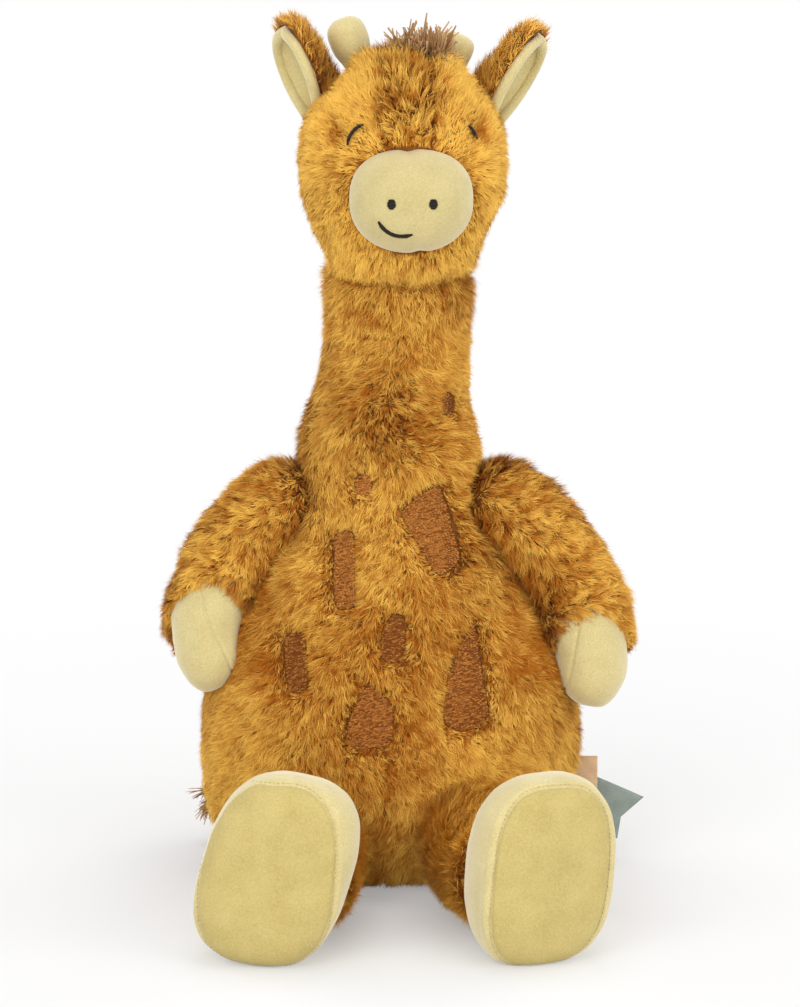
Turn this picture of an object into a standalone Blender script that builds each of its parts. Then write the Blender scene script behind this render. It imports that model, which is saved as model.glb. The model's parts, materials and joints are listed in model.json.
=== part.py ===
# Plush giraffe, seated: stuffed body, neck, head, limbs and tail in sewn plush and velour covers.
# The toy faces -Y, +X is its own left side, +Z is up, and it sits on the plane Z = 0.
import math

import bpy
import bmesh
from mathutils import Matrix, Vector
from mathutils.bvhtree import BVHTree

# Fits and cloth, in metres
GAP = 0.0003
FUR_DEPTH = 0.006
FUR_BACKING = 0.002
VELOUR_DEPTH = 0.0015
STITCH_DEPTH = 0.001
FLOOR_CUT = 0.0005
CUTTER_REACH = 0.5

# Stuffed body, measured on the inside of its cover
TORSO_HEIGHT = 0.180
BODY_WIDTH = 0.144
BODY_DEPTH = 0.113
NECK_WIDTH = 0.047
NECK_DEPTH = 0.044
NECK_LENGTH = 0.054
NECK_SHIFT = 0.003
ROCKER_DROP = 0.0415
ROCKER_RADIUS = 0.047
ROCKER_SHELF = 0.010
COLLAR_RADIUS = 0.070
# The side seam between the front and back panels lies this far behind the neck's axis
SEAM_BACK = 0.004

# How square the torso's level sections are: 2 is an ellipse
TORSO_POWER = 2.1
# Each row: height, width and depth, as shares of the torso's
TORSO_SHARES = (
    (0.00, 0.64, 0.62),
    (0.025, 0.80, 0.78),
    (0.08, 0.92, 0.91),
    (0.18, 0.98, 0.98),
    (0.31, 1.00, 1.00),
    (0.43, 0.96, 0.95),
    (0.54, 0.86, 0.86),
    (0.65, 0.72, 0.76),
    (0.76, 0.58, 0.65),
    (0.88, 0.47, 0.54),
    (1.00, 0.42, 0.47),
)
# Each row: height, width and depth, as shares of the neck's
NECK_SHARES = (
    (0.22, 1.15, 1.11),
    (0.48, 1.04, 1.03),
    (0.80, 1.00, 1.00),
    (1.25, 1.02, 1.02),
)

# Head, measured on the inside of its cover, from its turning axis
HEAD_HEIGHT = 0.100
HEAD_WIDTH = 0.072
HEAD_DEPTH = 0.073
HEAD_FORWARD = 0.005
HEAD_OFFSET = 0.0045
HEAD_TURN_DEG = 5.0
HEAD_OVERLAP = 0.012
HEAD_SHARES = (
    (0.00, 0.45, 0.45, 0.6),
    (0.08, 0.60, 0.58, 0.9),
    (0.15, 0.68, 0.66, 1.2),
    (0.23, 0.72, 0.74, 1.2),
    (0.32, 0.78, 0.83, 1.2),
    (0.42, 0.87, 0.92, 1.1),
    (0.54, 0.97, 0.98, 1.0),
    (0.66, 1.00, 1.00, 0.8),
    (0.77, 0.97, 0.97, 0.6),
    (0.87, 0.86, 0.87, 0.4),
    (0.94, 0.68, 0.69, 0.2),
    (0.985, 0.42, 0.43, 0.2),
    (1.00, 0.18, 0.18, 0.2),
)
GUSSET_WIDTH = 0.017
GUSSET_FOOT = 0.060

MUZZLE_WIDTH = 0.049
MUZZLE_HEIGHT = 0.041
MUZZLE_REACH = 0.044
MUZZLE_RISE = 0.0422
MUZZLE_FORWARD = 0.041
NOSTRIL_SPACING = 0.016
NOSTRIL_OFFSET = -0.0020
NOSTRIL_RISE = 0.0006
NOSTRIL_WIDTH = 0.0038
NOSTRIL_HEIGHT = 0.0044
SMILE_RADIUS = 0.0115
SMILE_DROP = 0.0012
SMILE_OFFSET = -0.0047
SMILE_START_DEG = 200.0
SMILE_END_DEG = 288.0
SMILE_THREAD = 0.0014
EYE_SPACING = 0.039
EYE_RISE = 0.064
EYE_RADIUS = 0.0065
EYE_OUTER_DEG = -5.0
EYE_INNER_DEG = 110.0
EYE_THREAD = 0.0018
EYE_SINK = 0.0006

EAR_LENGTH = 0.0415
EAR_WIDTH = 0.030
EAR_ROOT_WIDTH = 0.018
EAR_CUP = 0.0105
EAR_FUR_DEPTH = 0.0045
EAR_ROOT_RADIUS = 0.0045
EAR_ROOT_SINK = 0.006
EAR_AROUND_DEG = 57.0
EAR_BACK = 0.006
LEFT_EAR_LEAN_DEG = 30.0
RIGHT_EAR_LEAN_DEG = 15.0
EAR_FACING_DEG = 60.0
EAR_SEAT = 0.0010
EAR_CLEARANCE = 0.0040
EAR_WIDEST_SHARE = 0.52
EAR_TIP_SHARE = 0.14
EAR_TIP_POWER = 2.4
EAR_TAPER_SHARE = 0.6
EAR_LINING_SHARE = 0.9

HORN_LENGTH = 0.031
HORN_STALK_RADIUS = 0.0058
HORN_KNOB_RADIUS = 0.0083
HORN_SPACING = 0.023
HORN_OFFSET = 0.002
HORN_ROOT_RISE = 0.078
HORN_BACK = 0.012
HORN_LEAN_DEG = 32.0
HORN_STALK_SHARES = (0.0, 0.45, 0.62)
# Each row: way along the horn and radius there, as shares of its length and of the knob's radius
HORN_KNOB_SHARES = ((0.74, 0.93), (0.85, 1.00), (0.95, 0.80), (1.00, 0.38))

TUFT_WIDTH = 0.020
TUFT_DEPTH = 0.012
TUFT_HEIGHT = 0.010
TUFT_STRAND = 0.013
TUFT_FORWARD = 0.007
TUFT_OFFSET = 0.003
TUFT_SINK = 0.002
TUFT_LEAN_DEG = 7.0
# A strand of yarn is this share of its full length, more or less
STRAND_SHARE = 0.72
STRAND_VARY_SHARE = 0.28
STRAND_VARY_STEP = 2.4

# Quarter turn shares at which a limb's rounded root has a ring
ROOT_TURN_SHARES = (0.12, 0.40, 0.70)

# Arms: an arc from the shoulder ball to the finger end
ARM_RADIUS = 0.015
ARM_LENGTH = 0.086
ARM_ROOT_DEG = 54.0
ARM_END_DEG = -12.0
ARM_FORWARD_DEG = 14.0
CUFF_SHARE = 0.60
# The shoulders lie this far under the torso's top
SHOULDER_DROP = 0.030
# The shoulder's middle stands this far out of the fur
SHOULDER_STANDOFF = 0.0013
SHOULDER_FORWARD = 0.006
LEFT_ARM_LIFT_DEG = 5.0
RIGHT_ARM_LIFT_DEG = -1.0
# Each row: way along the arm and radius there, as shares of length and arm radius
ARM_SHARES = (
    (0.12, 0.98),
    (0.26, 0.95),
    (0.40, 0.94),
    (0.54, 0.93),
    (0.66, 0.90),
    (0.78, 0.90),
    (0.88, 0.86),
    (0.95, 0.68),
    (0.99, 0.38),
)

# Legs: a straight tube from the hip ball to the sole
LEG_RADIUS = 0.017
LEG_LENGTH = 0.091
LEG_FUR_LENGTH = 0.055
HIP_HEIGHT = 0.026
# The hip's middle stands this far out of the fur, so the rounded end alone sits in the body
HIP_STANDOFF = 0.0078
HIP_SPREAD = 0.034
FOOT_WIDTH = 0.054
FOOT_HEIGHT = 0.075
SOLE_DEPTH = 0.006
LEFT_SPLAY_DEG = 17.0
RIGHT_SPLAY_DEG = 6.0
LEFT_FOOT_ROLL_DEG = 2.0
RIGHT_FOOT_ROLL_DEG = 12.0
FOOT_POWER = 2.9
SOLE_FLAT_SHARE = 0.5
# Each row: way from cuff to sole, share of the foot's size over the ankle's, share of the rise
FOOT_SHARES = (
    (0.03, 0.20, 0.25),
    (0.16, 0.66, 0.75),
    (0.38, 0.93, 1.00),
    (0.70, 1.00, 1.00),
    (0.90, 0.90, 1.00),
    (0.97, 0.66, 1.00),
)

TAIL_RADIUS = 0.0062
TAIL_CLEARANCE = 0.0012
TAIL_HEIGHT = 0.034
TAIL_DROP = 0.012
TAIL_SWEEP_DEG = 58.0
TAIL_CLEAR_SHARE = 0.25
TAIL_DROP_POWER = 1.5
TAIL_TUFT_RADIUS = 0.0072
TAIL_TUFT_STRAND = 0.008

LABEL_WIDTH = 0.011
LABEL_REACH = 0.007
LABEL_DEPTH = 0.0012
LABEL_HEIGHT = 0.039
LABEL_FORWARD = 0.003
LABEL_ROUNDING_SHARE = 0.45
FLAG_WIDTH = 0.020
FLAG_LENGTH = 0.028
FLAG_DEPTH = 0.0008
FLAG_HEIGHT = 0.028
FLAG_BACK = 0.002
FLAG_SEAT = 0.0006
# Corners of the drooping swallow-tailed flag: across as shares of its length, up as shares of half its width
FLAG_SHARES = ((0.00, 1.00), (1.00, -0.22), (0.67, -1.07), (0.62, -2.00), (0.00, -1.00))

BODY_SIDES = 20
HEAD_SIDES = 20
LIMB_SIDES = 12
FOOT_SIDES = 16
SMALL_SIDES = 10
THREAD_SIDES = 6
SOCKET_SIDES = 14
MUZZLE_SIDES = 14
COLLAR_SIDES = 20
COLLAR_STEPS = 7
ROCKER_SIDES = 40
THREAD_STEPS = 8
TAIL_STEPS = 11
SHARP_DEG = 40.0

# Corners of the brown spots: across as shares of half the body's width, up as shares of the torso's height
SPOT_SHARES = {
    "spot_breast_small": ((-0.21, 0.905), (-0.18, 0.930), (-0.11, 0.930), (-0.08, 0.905),
                          (-0.11, 0.877), (-0.18, 0.877)),
    "spot_breast_large": ((0.04, 0.850), (0.27, 0.912), (0.40, 0.735), (0.27, 0.700)),
    "spot_chest_bar": ((-0.315, 0.800), (-0.195, 0.812), (-0.185, 0.640), (-0.300, 0.632)),
    "spot_side": ((-0.590, 0.580), (-0.460, 0.590), (-0.440, 0.462), (-0.560, 0.450)),
    "spot_middle": ((0.02, 0.640), (0.095, 0.628), (0.095, 0.560), (0.045, 0.522), (-0.055, 0.530),
                    (-0.055, 0.600)),
    "spot_belly_large": ((0.46, 0.620), (0.56, 0.400), (0.40, 0.370), (0.28, 0.392), (0.31, 0.500)),
    "spot_belly_low": ((-0.12, 0.492), (0.03, 0.440), (0.02, 0.350), (-0.22, 0.338), (-0.25, 0.390)),
}
NECK_SPOT_SHARES = ((0.28, 1.110), (0.35, 1.095), (0.34, 1.035), (0.29, 1.050))
SPOT_ROUNDING = 0.0025
SPOT_ROUNDING_SHARE = 0.4

FUR = (0.50, 0.235, 0.032, 1.0)
VELOUR = (0.78, 0.68, 0.33, 1.0)
STUFFING = (0.86, 0.86, 0.84, 1.0)
EMBROIDERY_BROWN = (0.30, 0.135, 0.045, 1.0)
EMBROIDERY_DARK = (0.022, 0.016, 0.012, 1.0)
YARN = (0.33, 0.21, 0.105, 1.0)
PEACH_TAPE = (0.70, 0.48, 0.27, 1.0)
GREY_TAPE = (0.28, 0.33, 0.28, 1.0)
CLOTH_ROUGHNESS = 0.92
THREAD_ROUGHNESS = 0.7


def clear_scene():
    for item in list(bpy.data.objects):
        bpy.data.objects.remove(item, do_unlink=True)


def make_material(name, colour, roughness):
    material = bpy.data.materials.new(name)
    material.use_nodes = True
    shader = material.node_tree.nodes["Principled BSDF"]
    shader.inputs["Base Color"].default_value = colour
    shader.inputs["Roughness"].default_value = roughness
    shader.inputs["Metallic"].default_value = 0
    return material


def link_mesh(name, shape, parent=None):
    shape.normal_update()
    mesh = bpy.data.meshes.new(name)
    shape.to_mesh(mesh)
    mesh.shade_smooth()
    mesh.set_sharp_from_angle(angle=math.radians(SHARP_DEG))
    item = bpy.data.objects.new(name, mesh)
    bpy.context.scene.collection.objects.link(item)
    item.parent = parent
    return item


def add_piece(name, shape, colour, parent=None, roughness=CLOTH_ROUGHNESS):
    item = link_mesh(name, shape, parent)
    item.data.materials.append(make_material(name, colour, roughness))
    return item


def add_cutter(name, shape, parent=None):
    item = link_mesh(name, shape, parent)
    item.hide_render = True
    item.display_type = "WIRE"
    return item


def combine(item, tool, operation):
    step = item.modifiers.new(tool.name, "BOOLEAN")
    step.operation = operation
    step.solver = "EXACT"
    step.object = tool


def cut(item, *tools):
    for tool in tools:
        combine(item, tool, "DIFFERENCE")


def keep_inside(item, *tools):
    for tool in tools:
        combine(item, tool, "INTERSECT")


def add_pivot(name, place, turn=(0, 0, 0), parent=None):
    pivot = bpy.data.objects.new(name, None)
    bpy.context.scene.collection.objects.link(pivot)
    pivot.location = place
    pivot.rotation_euler = turn
    pivot.parent = parent
    return pivot


def ring_outline(half_side, half_front, sides, power=2.0, roll=0.0):
    """Points of a superellipse, as pairs across and along, turned by roll."""
    points = []
    for index in range(sides):
        angle = math.tau * (index + 0.5) / sides
        side = math.copysign(abs(math.cos(angle)) ** (2 / power), math.cos(angle)) * half_side
        front = math.copysign(abs(math.sin(angle)) ** (2 / power), math.sin(angle)) * half_front
        points.append((side * math.cos(roll) - front * math.sin(roll),
                       side * math.sin(roll) + front * math.cos(roll)))
    return points


def level_ring(centre, outline):
    """A ring in a level plane: across is X and along is Y."""
    middle = Vector(centre)
    return [middle + Vector((side, front, 0)) for side, front in outline]


def skin_rings(rings):
    """A closed body through rings of equal counts, with a flat cap at either end."""
    shape = bmesh.new()
    loops = [[shape.verts.new(point) for point in ring] for ring in rings]
    for lower, upper in zip(loops, loops[1:]):
        count = len(lower)
        for index in range(count):
            after = (index + 1) % count
            shape.faces.new((lower[index], lower[after], upper[after], upper[index]))
    shape.faces.new(list(reversed(loops[0])))
    shape.faces.new(loops[-1])
    bmesh.ops.recalc_face_normals(shape, faces=shape.faces)
    # the same diagonals in every copy keep the layers of a cover apart
    bmesh.ops.triangulate(shape, faces=shape.faces, quad_method="FIXED")
    return shape


def grown(shape, distance):
    """A copy of a closed shape with each face moved out by the distance, or in where it is negative."""
    copy = shape.copy()
    copy.normal_update()
    moves = [(corner, corner.normal * corner.calc_shell_factor() * distance) for corner in copy.verts]
    for corner, move in moves:
        corner.co += move
    return copy


def tube(points, radii, sides, reference):
    """A closed tube through points, each ring square to the way there."""
    rings = []
    for index, point in enumerate(points):
        before = points[max(index - 1, 0)]
        after = points[min(index + 1, len(points) - 1)]
        way = (after - before).normalized()
        side = way.cross(reference).normalized()
        front = side.cross(way)
        rings.append([point + side * across + front * along
                      for across, along in ring_outline(radii[index], radii[index], sides)])
    return skin_rings(rings)


def box(low, high):
    shape = bmesh.new()
    bmesh.ops.create_cube(shape, size=1)
    low, high = Vector(low), Vector(high)
    bmesh.ops.scale(shape, vec=high - low, verts=shape.verts)
    bmesh.ops.translate(shape, vec=(low + high) / 2, verts=shape.verts)
    return shape


def side_box(low=(None, None, None), high=(None, None, None)):
    """A box that runs on to the cutters' reach wherever no limit is given."""
    return box([-CUTTER_REACH if value is None else value for value in low],
               [CUTTER_REACH if value is None else value for value in high])


def ball(centre, radius, sides):
    shape = bmesh.new()
    bmesh.ops.create_uvsphere(shape, u_segments=sides, v_segments=sides // 2, radius=radius)
    bmesh.ops.translate(shape, vec=centre, verts=shape.verts)
    return shape


def clear_of_flats(radius):
    """Radius of a faceted ball whose flats still clear a ball of the given radius."""
    return (radius + GAP) / math.cos(math.pi / SOCKET_SIDES) ** 2


def slab(outline, back, front):
    """An outline in the X and Z plane, carried from back to front along Y."""
    shape = bmesh.new()
    face = shape.faces.new([shape.verts.new((across, back, up)) for across, up in outline])
    swept = bmesh.ops.extrude_face_region(shape, geom=[face])["geom"]
    corners = [part for part in swept if isinstance(part, bmesh.types.BMVert)]
    bmesh.ops.translate(shape, vec=(0, front - back, 0), verts=corners)
    bmesh.ops.recalc_face_normals(shape, faces=shape.faces)
    return shape


def prism(outline, back, front, rounding):
    """The same with rounded corners, which the shortest side of the outline limits."""
    shape = slab(outline, back, front)
    shortest = min(math.dist(point, outline[index - 1]) for index, point in enumerate(outline))
    rounding = min(rounding, SPOT_ROUNDING_SHARE * shortest)
    along = [edge for edge in shape.edges if abs(edge.verts[0].co.y - edge.verts[1].co.y) > rounding]
    bmesh.ops.bevel(shape, geom=along, offset=rounding, segments=2, profile=0.5, affect="EDGES")
    bmesh.ops.recalc_face_normals(shape, faces=shape.faces)
    return shape


def drawn_in(outline, distance):
    """The outline with each corner moved towards the middle by about the distance."""
    middle = Vector((sum(point[0] for point in outline), sum(point[1] for point in outline))) / len(outline)
    moved = []
    for point in outline:
        arm = Vector(point) - middle
        moved.append(middle + arm * (1 - distance / arm.length))
    return moved


def front_point(tree, across, up):
    """Where a ray from the front meets the shape at this place."""
    start = Vector((across, -CUTTER_REACH, up))
    return tree.ray_cast(start, Vector((0, 1, 0)))[0]


def side_point(tree, sign, along, up):
    """Where a ray from the side that the sign names meets the shape at this place."""
    start = Vector((sign * CUTTER_REACH, along, up))
    return tree.ray_cast(start, Vector((-sign, 0, 0)))[0]


def thread_arc(tree, centre, radius, start_deg, end_deg, steps):
    """Points of an embroidered arc laid on the front of a shape."""
    points = []
    for index in range(steps + 1):
        angle = math.radians(start_deg + (end_deg - start_deg) * index / steps)
        across, up = centre[0] + radius * math.cos(angle), centre[1] + radius * math.sin(angle)
        points.append(front_point(tree, across, up))
    return points


def body_shape():
    """Inside of the body's cover from the seat to the top of the neck."""
    seat = FUR_DEPTH - FLOOR_CUT
    rings = []
    for height, width, depth in TORSO_SHARES:
        place = (0, 0, seat + height * (TORSO_HEIGHT - seat))
        outline = ring_outline(width * BODY_WIDTH / 2, depth * BODY_DEPTH / 2, BODY_SIDES, TORSO_POWER)
        rings.append(level_ring(place, outline))
    for height, width, depth in NECK_SHARES:
        place = (min(height, 1) * NECK_SHIFT, 0, TORSO_HEIGHT + height * NECK_LENGTH)
        outline = ring_outline(width * NECK_WIDTH / 2, depth * NECK_DEPTH / 2, BODY_SIDES)
        rings.append(level_ring(place, outline))
    return skin_rings(rings)


def rocker_shape(extra):
    """All that lies under the rounded top that the neck rocks on, grown by extra."""
    radius = ROCKER_RADIUS + extra
    pivot_height = TORSO_HEIGHT - ROCKER_DROP
    shelf_rise = ROCKER_SHELF + extra
    shelf_angle = math.asin(shelf_rise / radius)
    outline = [(-CUTTER_REACH, -CUTTER_REACH), (CUTTER_REACH, -CUTTER_REACH),
               (CUTTER_REACH, pivot_height + shelf_rise)]
    for index in range(ROCKER_SIDES + 1):
        angle = shelf_angle + (math.pi - 2 * shelf_angle) * index / ROCKER_SIDES
        outline.append((radius * math.cos(angle), pivot_height + radius * math.sin(angle)))
    outline.append((-CUTTER_REACH, pivot_height + shelf_rise))
    shape = slab(outline, -CUTTER_REACH, CUTTER_REACH)
    bmesh.ops.rotate(shape, matrix=Matrix.Rotation(math.pi / 2, 3, "Z"), verts=shape.verts)
    return shape


def collar_shape(extra):
    """The shallow bowl that the head turns in, with all that lies above it, grown by extra."""
    radius = COLLAR_RADIUS + extra
    centre_height = TORSO_HEIGHT + NECK_LENGTH + COLLAR_RADIUS
    rings = []
    for index in range(COLLAR_STEPS):
        angle = math.pi / 2 * (index + 0.5) / COLLAR_STEPS
        reach = radius * math.sin(angle)
        rings.append(level_ring((HEAD_OFFSET, 0, centre_height - radius * math.cos(angle)),
                                ring_outline(reach, reach, COLLAR_SIDES)))
    rings.append(level_ring((HEAD_OFFSET, 0, CUTTER_REACH + centre_height),
                            ring_outline(radius, radius, COLLAR_SIDES)))
    return skin_rings(rings)


def head_shape():
    """Inside of the head's cover, in the head's own frame."""
    rings = []
    for height, width, depth, forward in HEAD_SHARES:
        place = (0, -forward * HEAD_FORWARD, height * HEAD_HEIGHT - HEAD_OVERLAP)
        outline = ring_outline(width * HEAD_WIDTH / 2, depth * HEAD_DEPTH / 2, HEAD_SIDES)
        rings.append(level_ring(place, outline))
    return skin_rings(rings)


def muzzle_shape():
    shape = bmesh.new()
    bmesh.ops.create_uvsphere(shape, u_segments=MUZZLE_SIDES, v_segments=MUZZLE_SIDES // 2, radius=1)
    bmesh.ops.rotate(shape, matrix=Matrix.Rotation(math.pi / 2, 3, "X"), verts=shape.verts)
    bmesh.ops.scale(shape, vec=(MUZZLE_WIDTH / 2, MUZZLE_REACH / 2, MUZZLE_HEIGHT / 2), verts=shape.verts)
    bmesh.ops.translate(shape, vec=(0, -MUZZLE_FORWARD, MUZZLE_RISE), verts=shape.verts)
    return shape


def arm_shape():
    """Inside of an arm's cover in the shoulder's frame, curving from outward to straight down."""
    start, end = math.radians(ARM_ROOT_DEG), math.radians(ARM_END_DEG)
    bend = (start - end) / ARM_LENGTH

    def place(along):
        angle = start - bend * along
        across = (math.cos(angle) - math.cos(start)) / bend
        down = (math.sin(start) - math.sin(angle)) / bend
        return Vector((across, 0, -down)), Vector((math.sin(angle), 0, -math.cos(angle)))

    stations = []
    for turn_share in ROOT_TURN_SHARES:
        turn = math.pi / 2 * turn_share
        stations.append((-ARM_RADIUS * math.cos(turn), ARM_RADIUS * math.sin(turn)))
    stations.append((0, ARM_RADIUS))
    for along, radius in ARM_SHARES:
        stations.append((along * ARM_LENGTH, radius * ARM_RADIUS))
    rings = []
    for along, radius in stations:
        centre, way = place(max(along, 0))
        centre += way * min(along, 0)
        side = Vector((0, 1, 0)).cross(way)
        rings.append([centre + side * across + Vector((0, front, 0))
                      for across, front in ring_outline(radius, radius, LIMB_SIDES)])
    return skin_rings(rings), place


def foot_rise(roll):
    """How far the foot's middle lies over the hip, so that its lowest point is just pressed flat."""
    half_width, half_height = FOOT_WIDTH / 2, FOOT_HEIGHT / 2
    lowest = min(up for _, up in ring_outline(half_width, half_height, FOOT_SIDES, FOOT_POWER, roll))
    return -lowest - HIP_HEIGHT - FLOOR_CUT


def shank_rings():
    """Rings from the hip ball to the ankle, in the hip's frame."""
    rings = []
    for turn_share in ROOT_TURN_SHARES:
        turn = math.pi / 2 * turn_share
        radius = LEG_RADIUS * math.sin(turn)
        outline = ring_outline(radius, radius, FOOT_SIDES)
        rings.append(level_ring((0, 0, -LEG_RADIUS * math.cos(turn)), outline))
    for along in (0, LEG_FUR_LENGTH / 2, LEG_FUR_LENGTH):
        rings.append(level_ring((0, 0, along), ring_outline(LEG_RADIUS, LEG_RADIUS, FOOT_SIDES)))
    return rings


def leg_shape(roll):
    """Inside of a leg's cover in the hip's frame: local Z runs to the sole and local Y is up."""
    rings = shank_rings()
    half_width, half_height = FOOT_WIDTH / 2 - VELOUR_DEPTH, FOOT_HEIGHT / 2 - VELOUR_DEPTH
    rise = foot_rise(roll)
    foot_length = LEG_LENGTH - VELOUR_DEPTH - LEG_FUR_LENGTH
    for along, size, lift in FOOT_SHARES:
        outline = ring_outline(LEG_RADIUS + (half_width - LEG_RADIUS) * size,
                               LEG_RADIUS + (half_height - LEG_RADIUS) * size,
                               FOOT_SIDES, 2 + (FOOT_POWER - 2) * size, roll * size)
        rings.append(level_ring((0, lift * rise, LEG_FUR_LENGTH + along * foot_length), outline))
    flat = ring_outline(half_width * SOLE_FLAT_SHARE, half_height * SOLE_FLAT_SHARE,
                        FOOT_SIDES, FOOT_POWER, roll)
    rings.append(level_ring((0, rise, LEG_LENGTH - VELOUR_DEPTH), flat))
    return skin_rings(rings)


def ear_leaf(offset, size_share):
    """A cupped leaf in the ear's own frame: up is Z and the cup opens towards -Y."""
    shape = bmesh.new()
    bmesh.ops.create_grid(shape, x_segments=4, y_segments=7, size=1)
    for corner in shape.verts:
        across, along = corner.co.x, (corner.co.y + 1) / 2
        past_widest = (along - EAR_WIDEST_SHARE) / (1 - EAR_WIDEST_SHARE)
        if past_widest > 0:
            half = EAR_WIDTH / 2 * max(math.sqrt(1 - past_widest ** EAR_TIP_POWER), EAR_TIP_SHARE)
        else:
            half = (EAR_WIDTH - (EAR_WIDTH - EAR_ROOT_WIDTH) * (1 - along / EAR_WIDEST_SHARE) ** 2) / 2
        cup = EAR_CUP * ((1 - across ** 2) * (1 - EAR_TAPER_SHARE * along) - 1)
        rise = along * EAR_LENGTH * size_share - EAR_ROOT_SINK
        corner.co = Vector((across * half * size_share, cup + offset, rise))
    bmesh.ops.recalc_face_normals(shape, faces=shape.faces)
    return shape


def thicken(shape, depth):
    """The sheet as a closed body that reaches back by the depth."""
    swept = bmesh.ops.extrude_face_region(shape, geom=list(shape.faces))["geom"]
    corners = [part for part in swept if isinstance(part, bmesh.types.BMVert)]
    bmesh.ops.translate(shape, vec=(0, depth, 0), verts=corners)
    bmesh.ops.recalc_face_normals(shape, faces=shape.faces)
    return shape


def tufted_ball(size, strand, way):
    """A small dome of yarn ends: every facet that faces the way stands out to a point."""
    shape = bmesh.new()
    bmesh.ops.create_icosphere(shape, subdivisions=2, radius=1)
    bmesh.ops.scale(shape, vec=size, verts=shape.verts)
    shape.normal_update()
    facing = [face for face in shape.faces if face.normal.dot(way) > 0]
    tips = bmesh.ops.poke(shape, faces=facing)["verts"]
    for index, tip in enumerate(tips):
        share = STRAND_SHARE + STRAND_VARY_SHARE * math.cos(index * STRAND_VARY_STEP)
        tip.co += (tip.co.normalized() + way).normalized() * strand * share
    return shape


def build_body(base, cover, floor, sockets):
    rocker = add_cutter("cutter_rocker", rocker_shape(0))
    cavity = add_cutter("cutter_body_cavity", base)

    front = add_piece("body_front_panel", cover, FUR)
    cut(front, cavity, add_cutter("cutter_body_back_half", side_box(low=(None, SEAM_BACK - GAP / 2, None))))
    back = add_piece("body_back_panel", cover, FUR)
    cut(back, cavity, add_cutter("cutter_body_front_half", side_box(high=(None, SEAM_BACK + GAP / 2, None))))
    stuffing = add_piece("body_stuffing", grown(base, -GAP), STUFFING)
    for item in (front, back, stuffing):
        keep_inside(item, rocker)
        cut(item, floor, *sockets)
    return front


def build_neck(base, cover):
    pivot = add_pivot("neck_pivot", (0, 0, TORSO_HEIGHT - ROCKER_DROP))
    shift = Vector((0, 0, -(TORSO_HEIGHT - ROCKER_DROP)))

    def lowered(shape):
        copy = shape.copy()
        bmesh.ops.translate(copy, vec=shift, verts=copy.verts)
        return copy

    rocker = add_cutter("cutter_neck_rocker", lowered(rocker_shape(GAP)), pivot)
    collar = add_cutter("cutter_neck_collar", lowered(collar_shape(GAP)), pivot)
    cavity = add_cutter("cutter_neck_cavity", lowered(base), pivot)
    fur = add_piece("neck_cover", lowered(cover), FUR, pivot)
    cut(fur, cavity)
    stuffing = add_piece("neck_stuffing", lowered(grown(base, -GAP)), STUFFING, pivot)
    for item in (fur, stuffing):
        cut(item, rocker, collar)
    return pivot, fur


def build_spots(base, front, neck_fur, neck_pivot):
    floor_shape = grown(base, FUR_BACKING)
    under = grown(base, FUR_BACKING + GAP)
    over = grown(base, FUR_BACKING + GAP + STITCH_DEPTH)
    half = BODY_WIDTH / 2

    def spot(name, shares, carrier, parent):
        outline = [(across * half, up * TORSO_HEIGHT) for across, up in shares]
        shift = -parent.matrix_world.translation if parent else Vector((0, 0, 0))

        def local(shape):
            copy = shape.copy()
            bmesh.ops.translate(copy, vec=shift, verts=copy.verts)
            return copy

        window = add_cutter("cutter_" + name, local(prism(outline, -CUTTER_REACH, 0, SPOT_ROUNDING)), parent)
        cut(window, add_cutter("cutter_floor_" + name, local(floor_shape), parent))
        cut(carrier, window)
        inner = drawn_in(outline, GAP * 2)
        patch = add_piece(name, local(prism(inner, -CUTTER_REACH, 0, SPOT_ROUNDING)), EMBROIDERY_BROWN,
                          parent, THREAD_ROUGHNESS)
        keep_inside(patch, add_cutter("cutter_over_" + name, local(over), parent))
        cut(patch, add_cutter("cutter_under_" + name, local(under), parent))

    for name, shares in SPOT_SHARES.items():
        spot(name, shares, front, None)
    bpy.context.view_layer.update()
    spot("spot_neck", NECK_SPOT_SHARES, neck_fur, neck_pivot)


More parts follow.
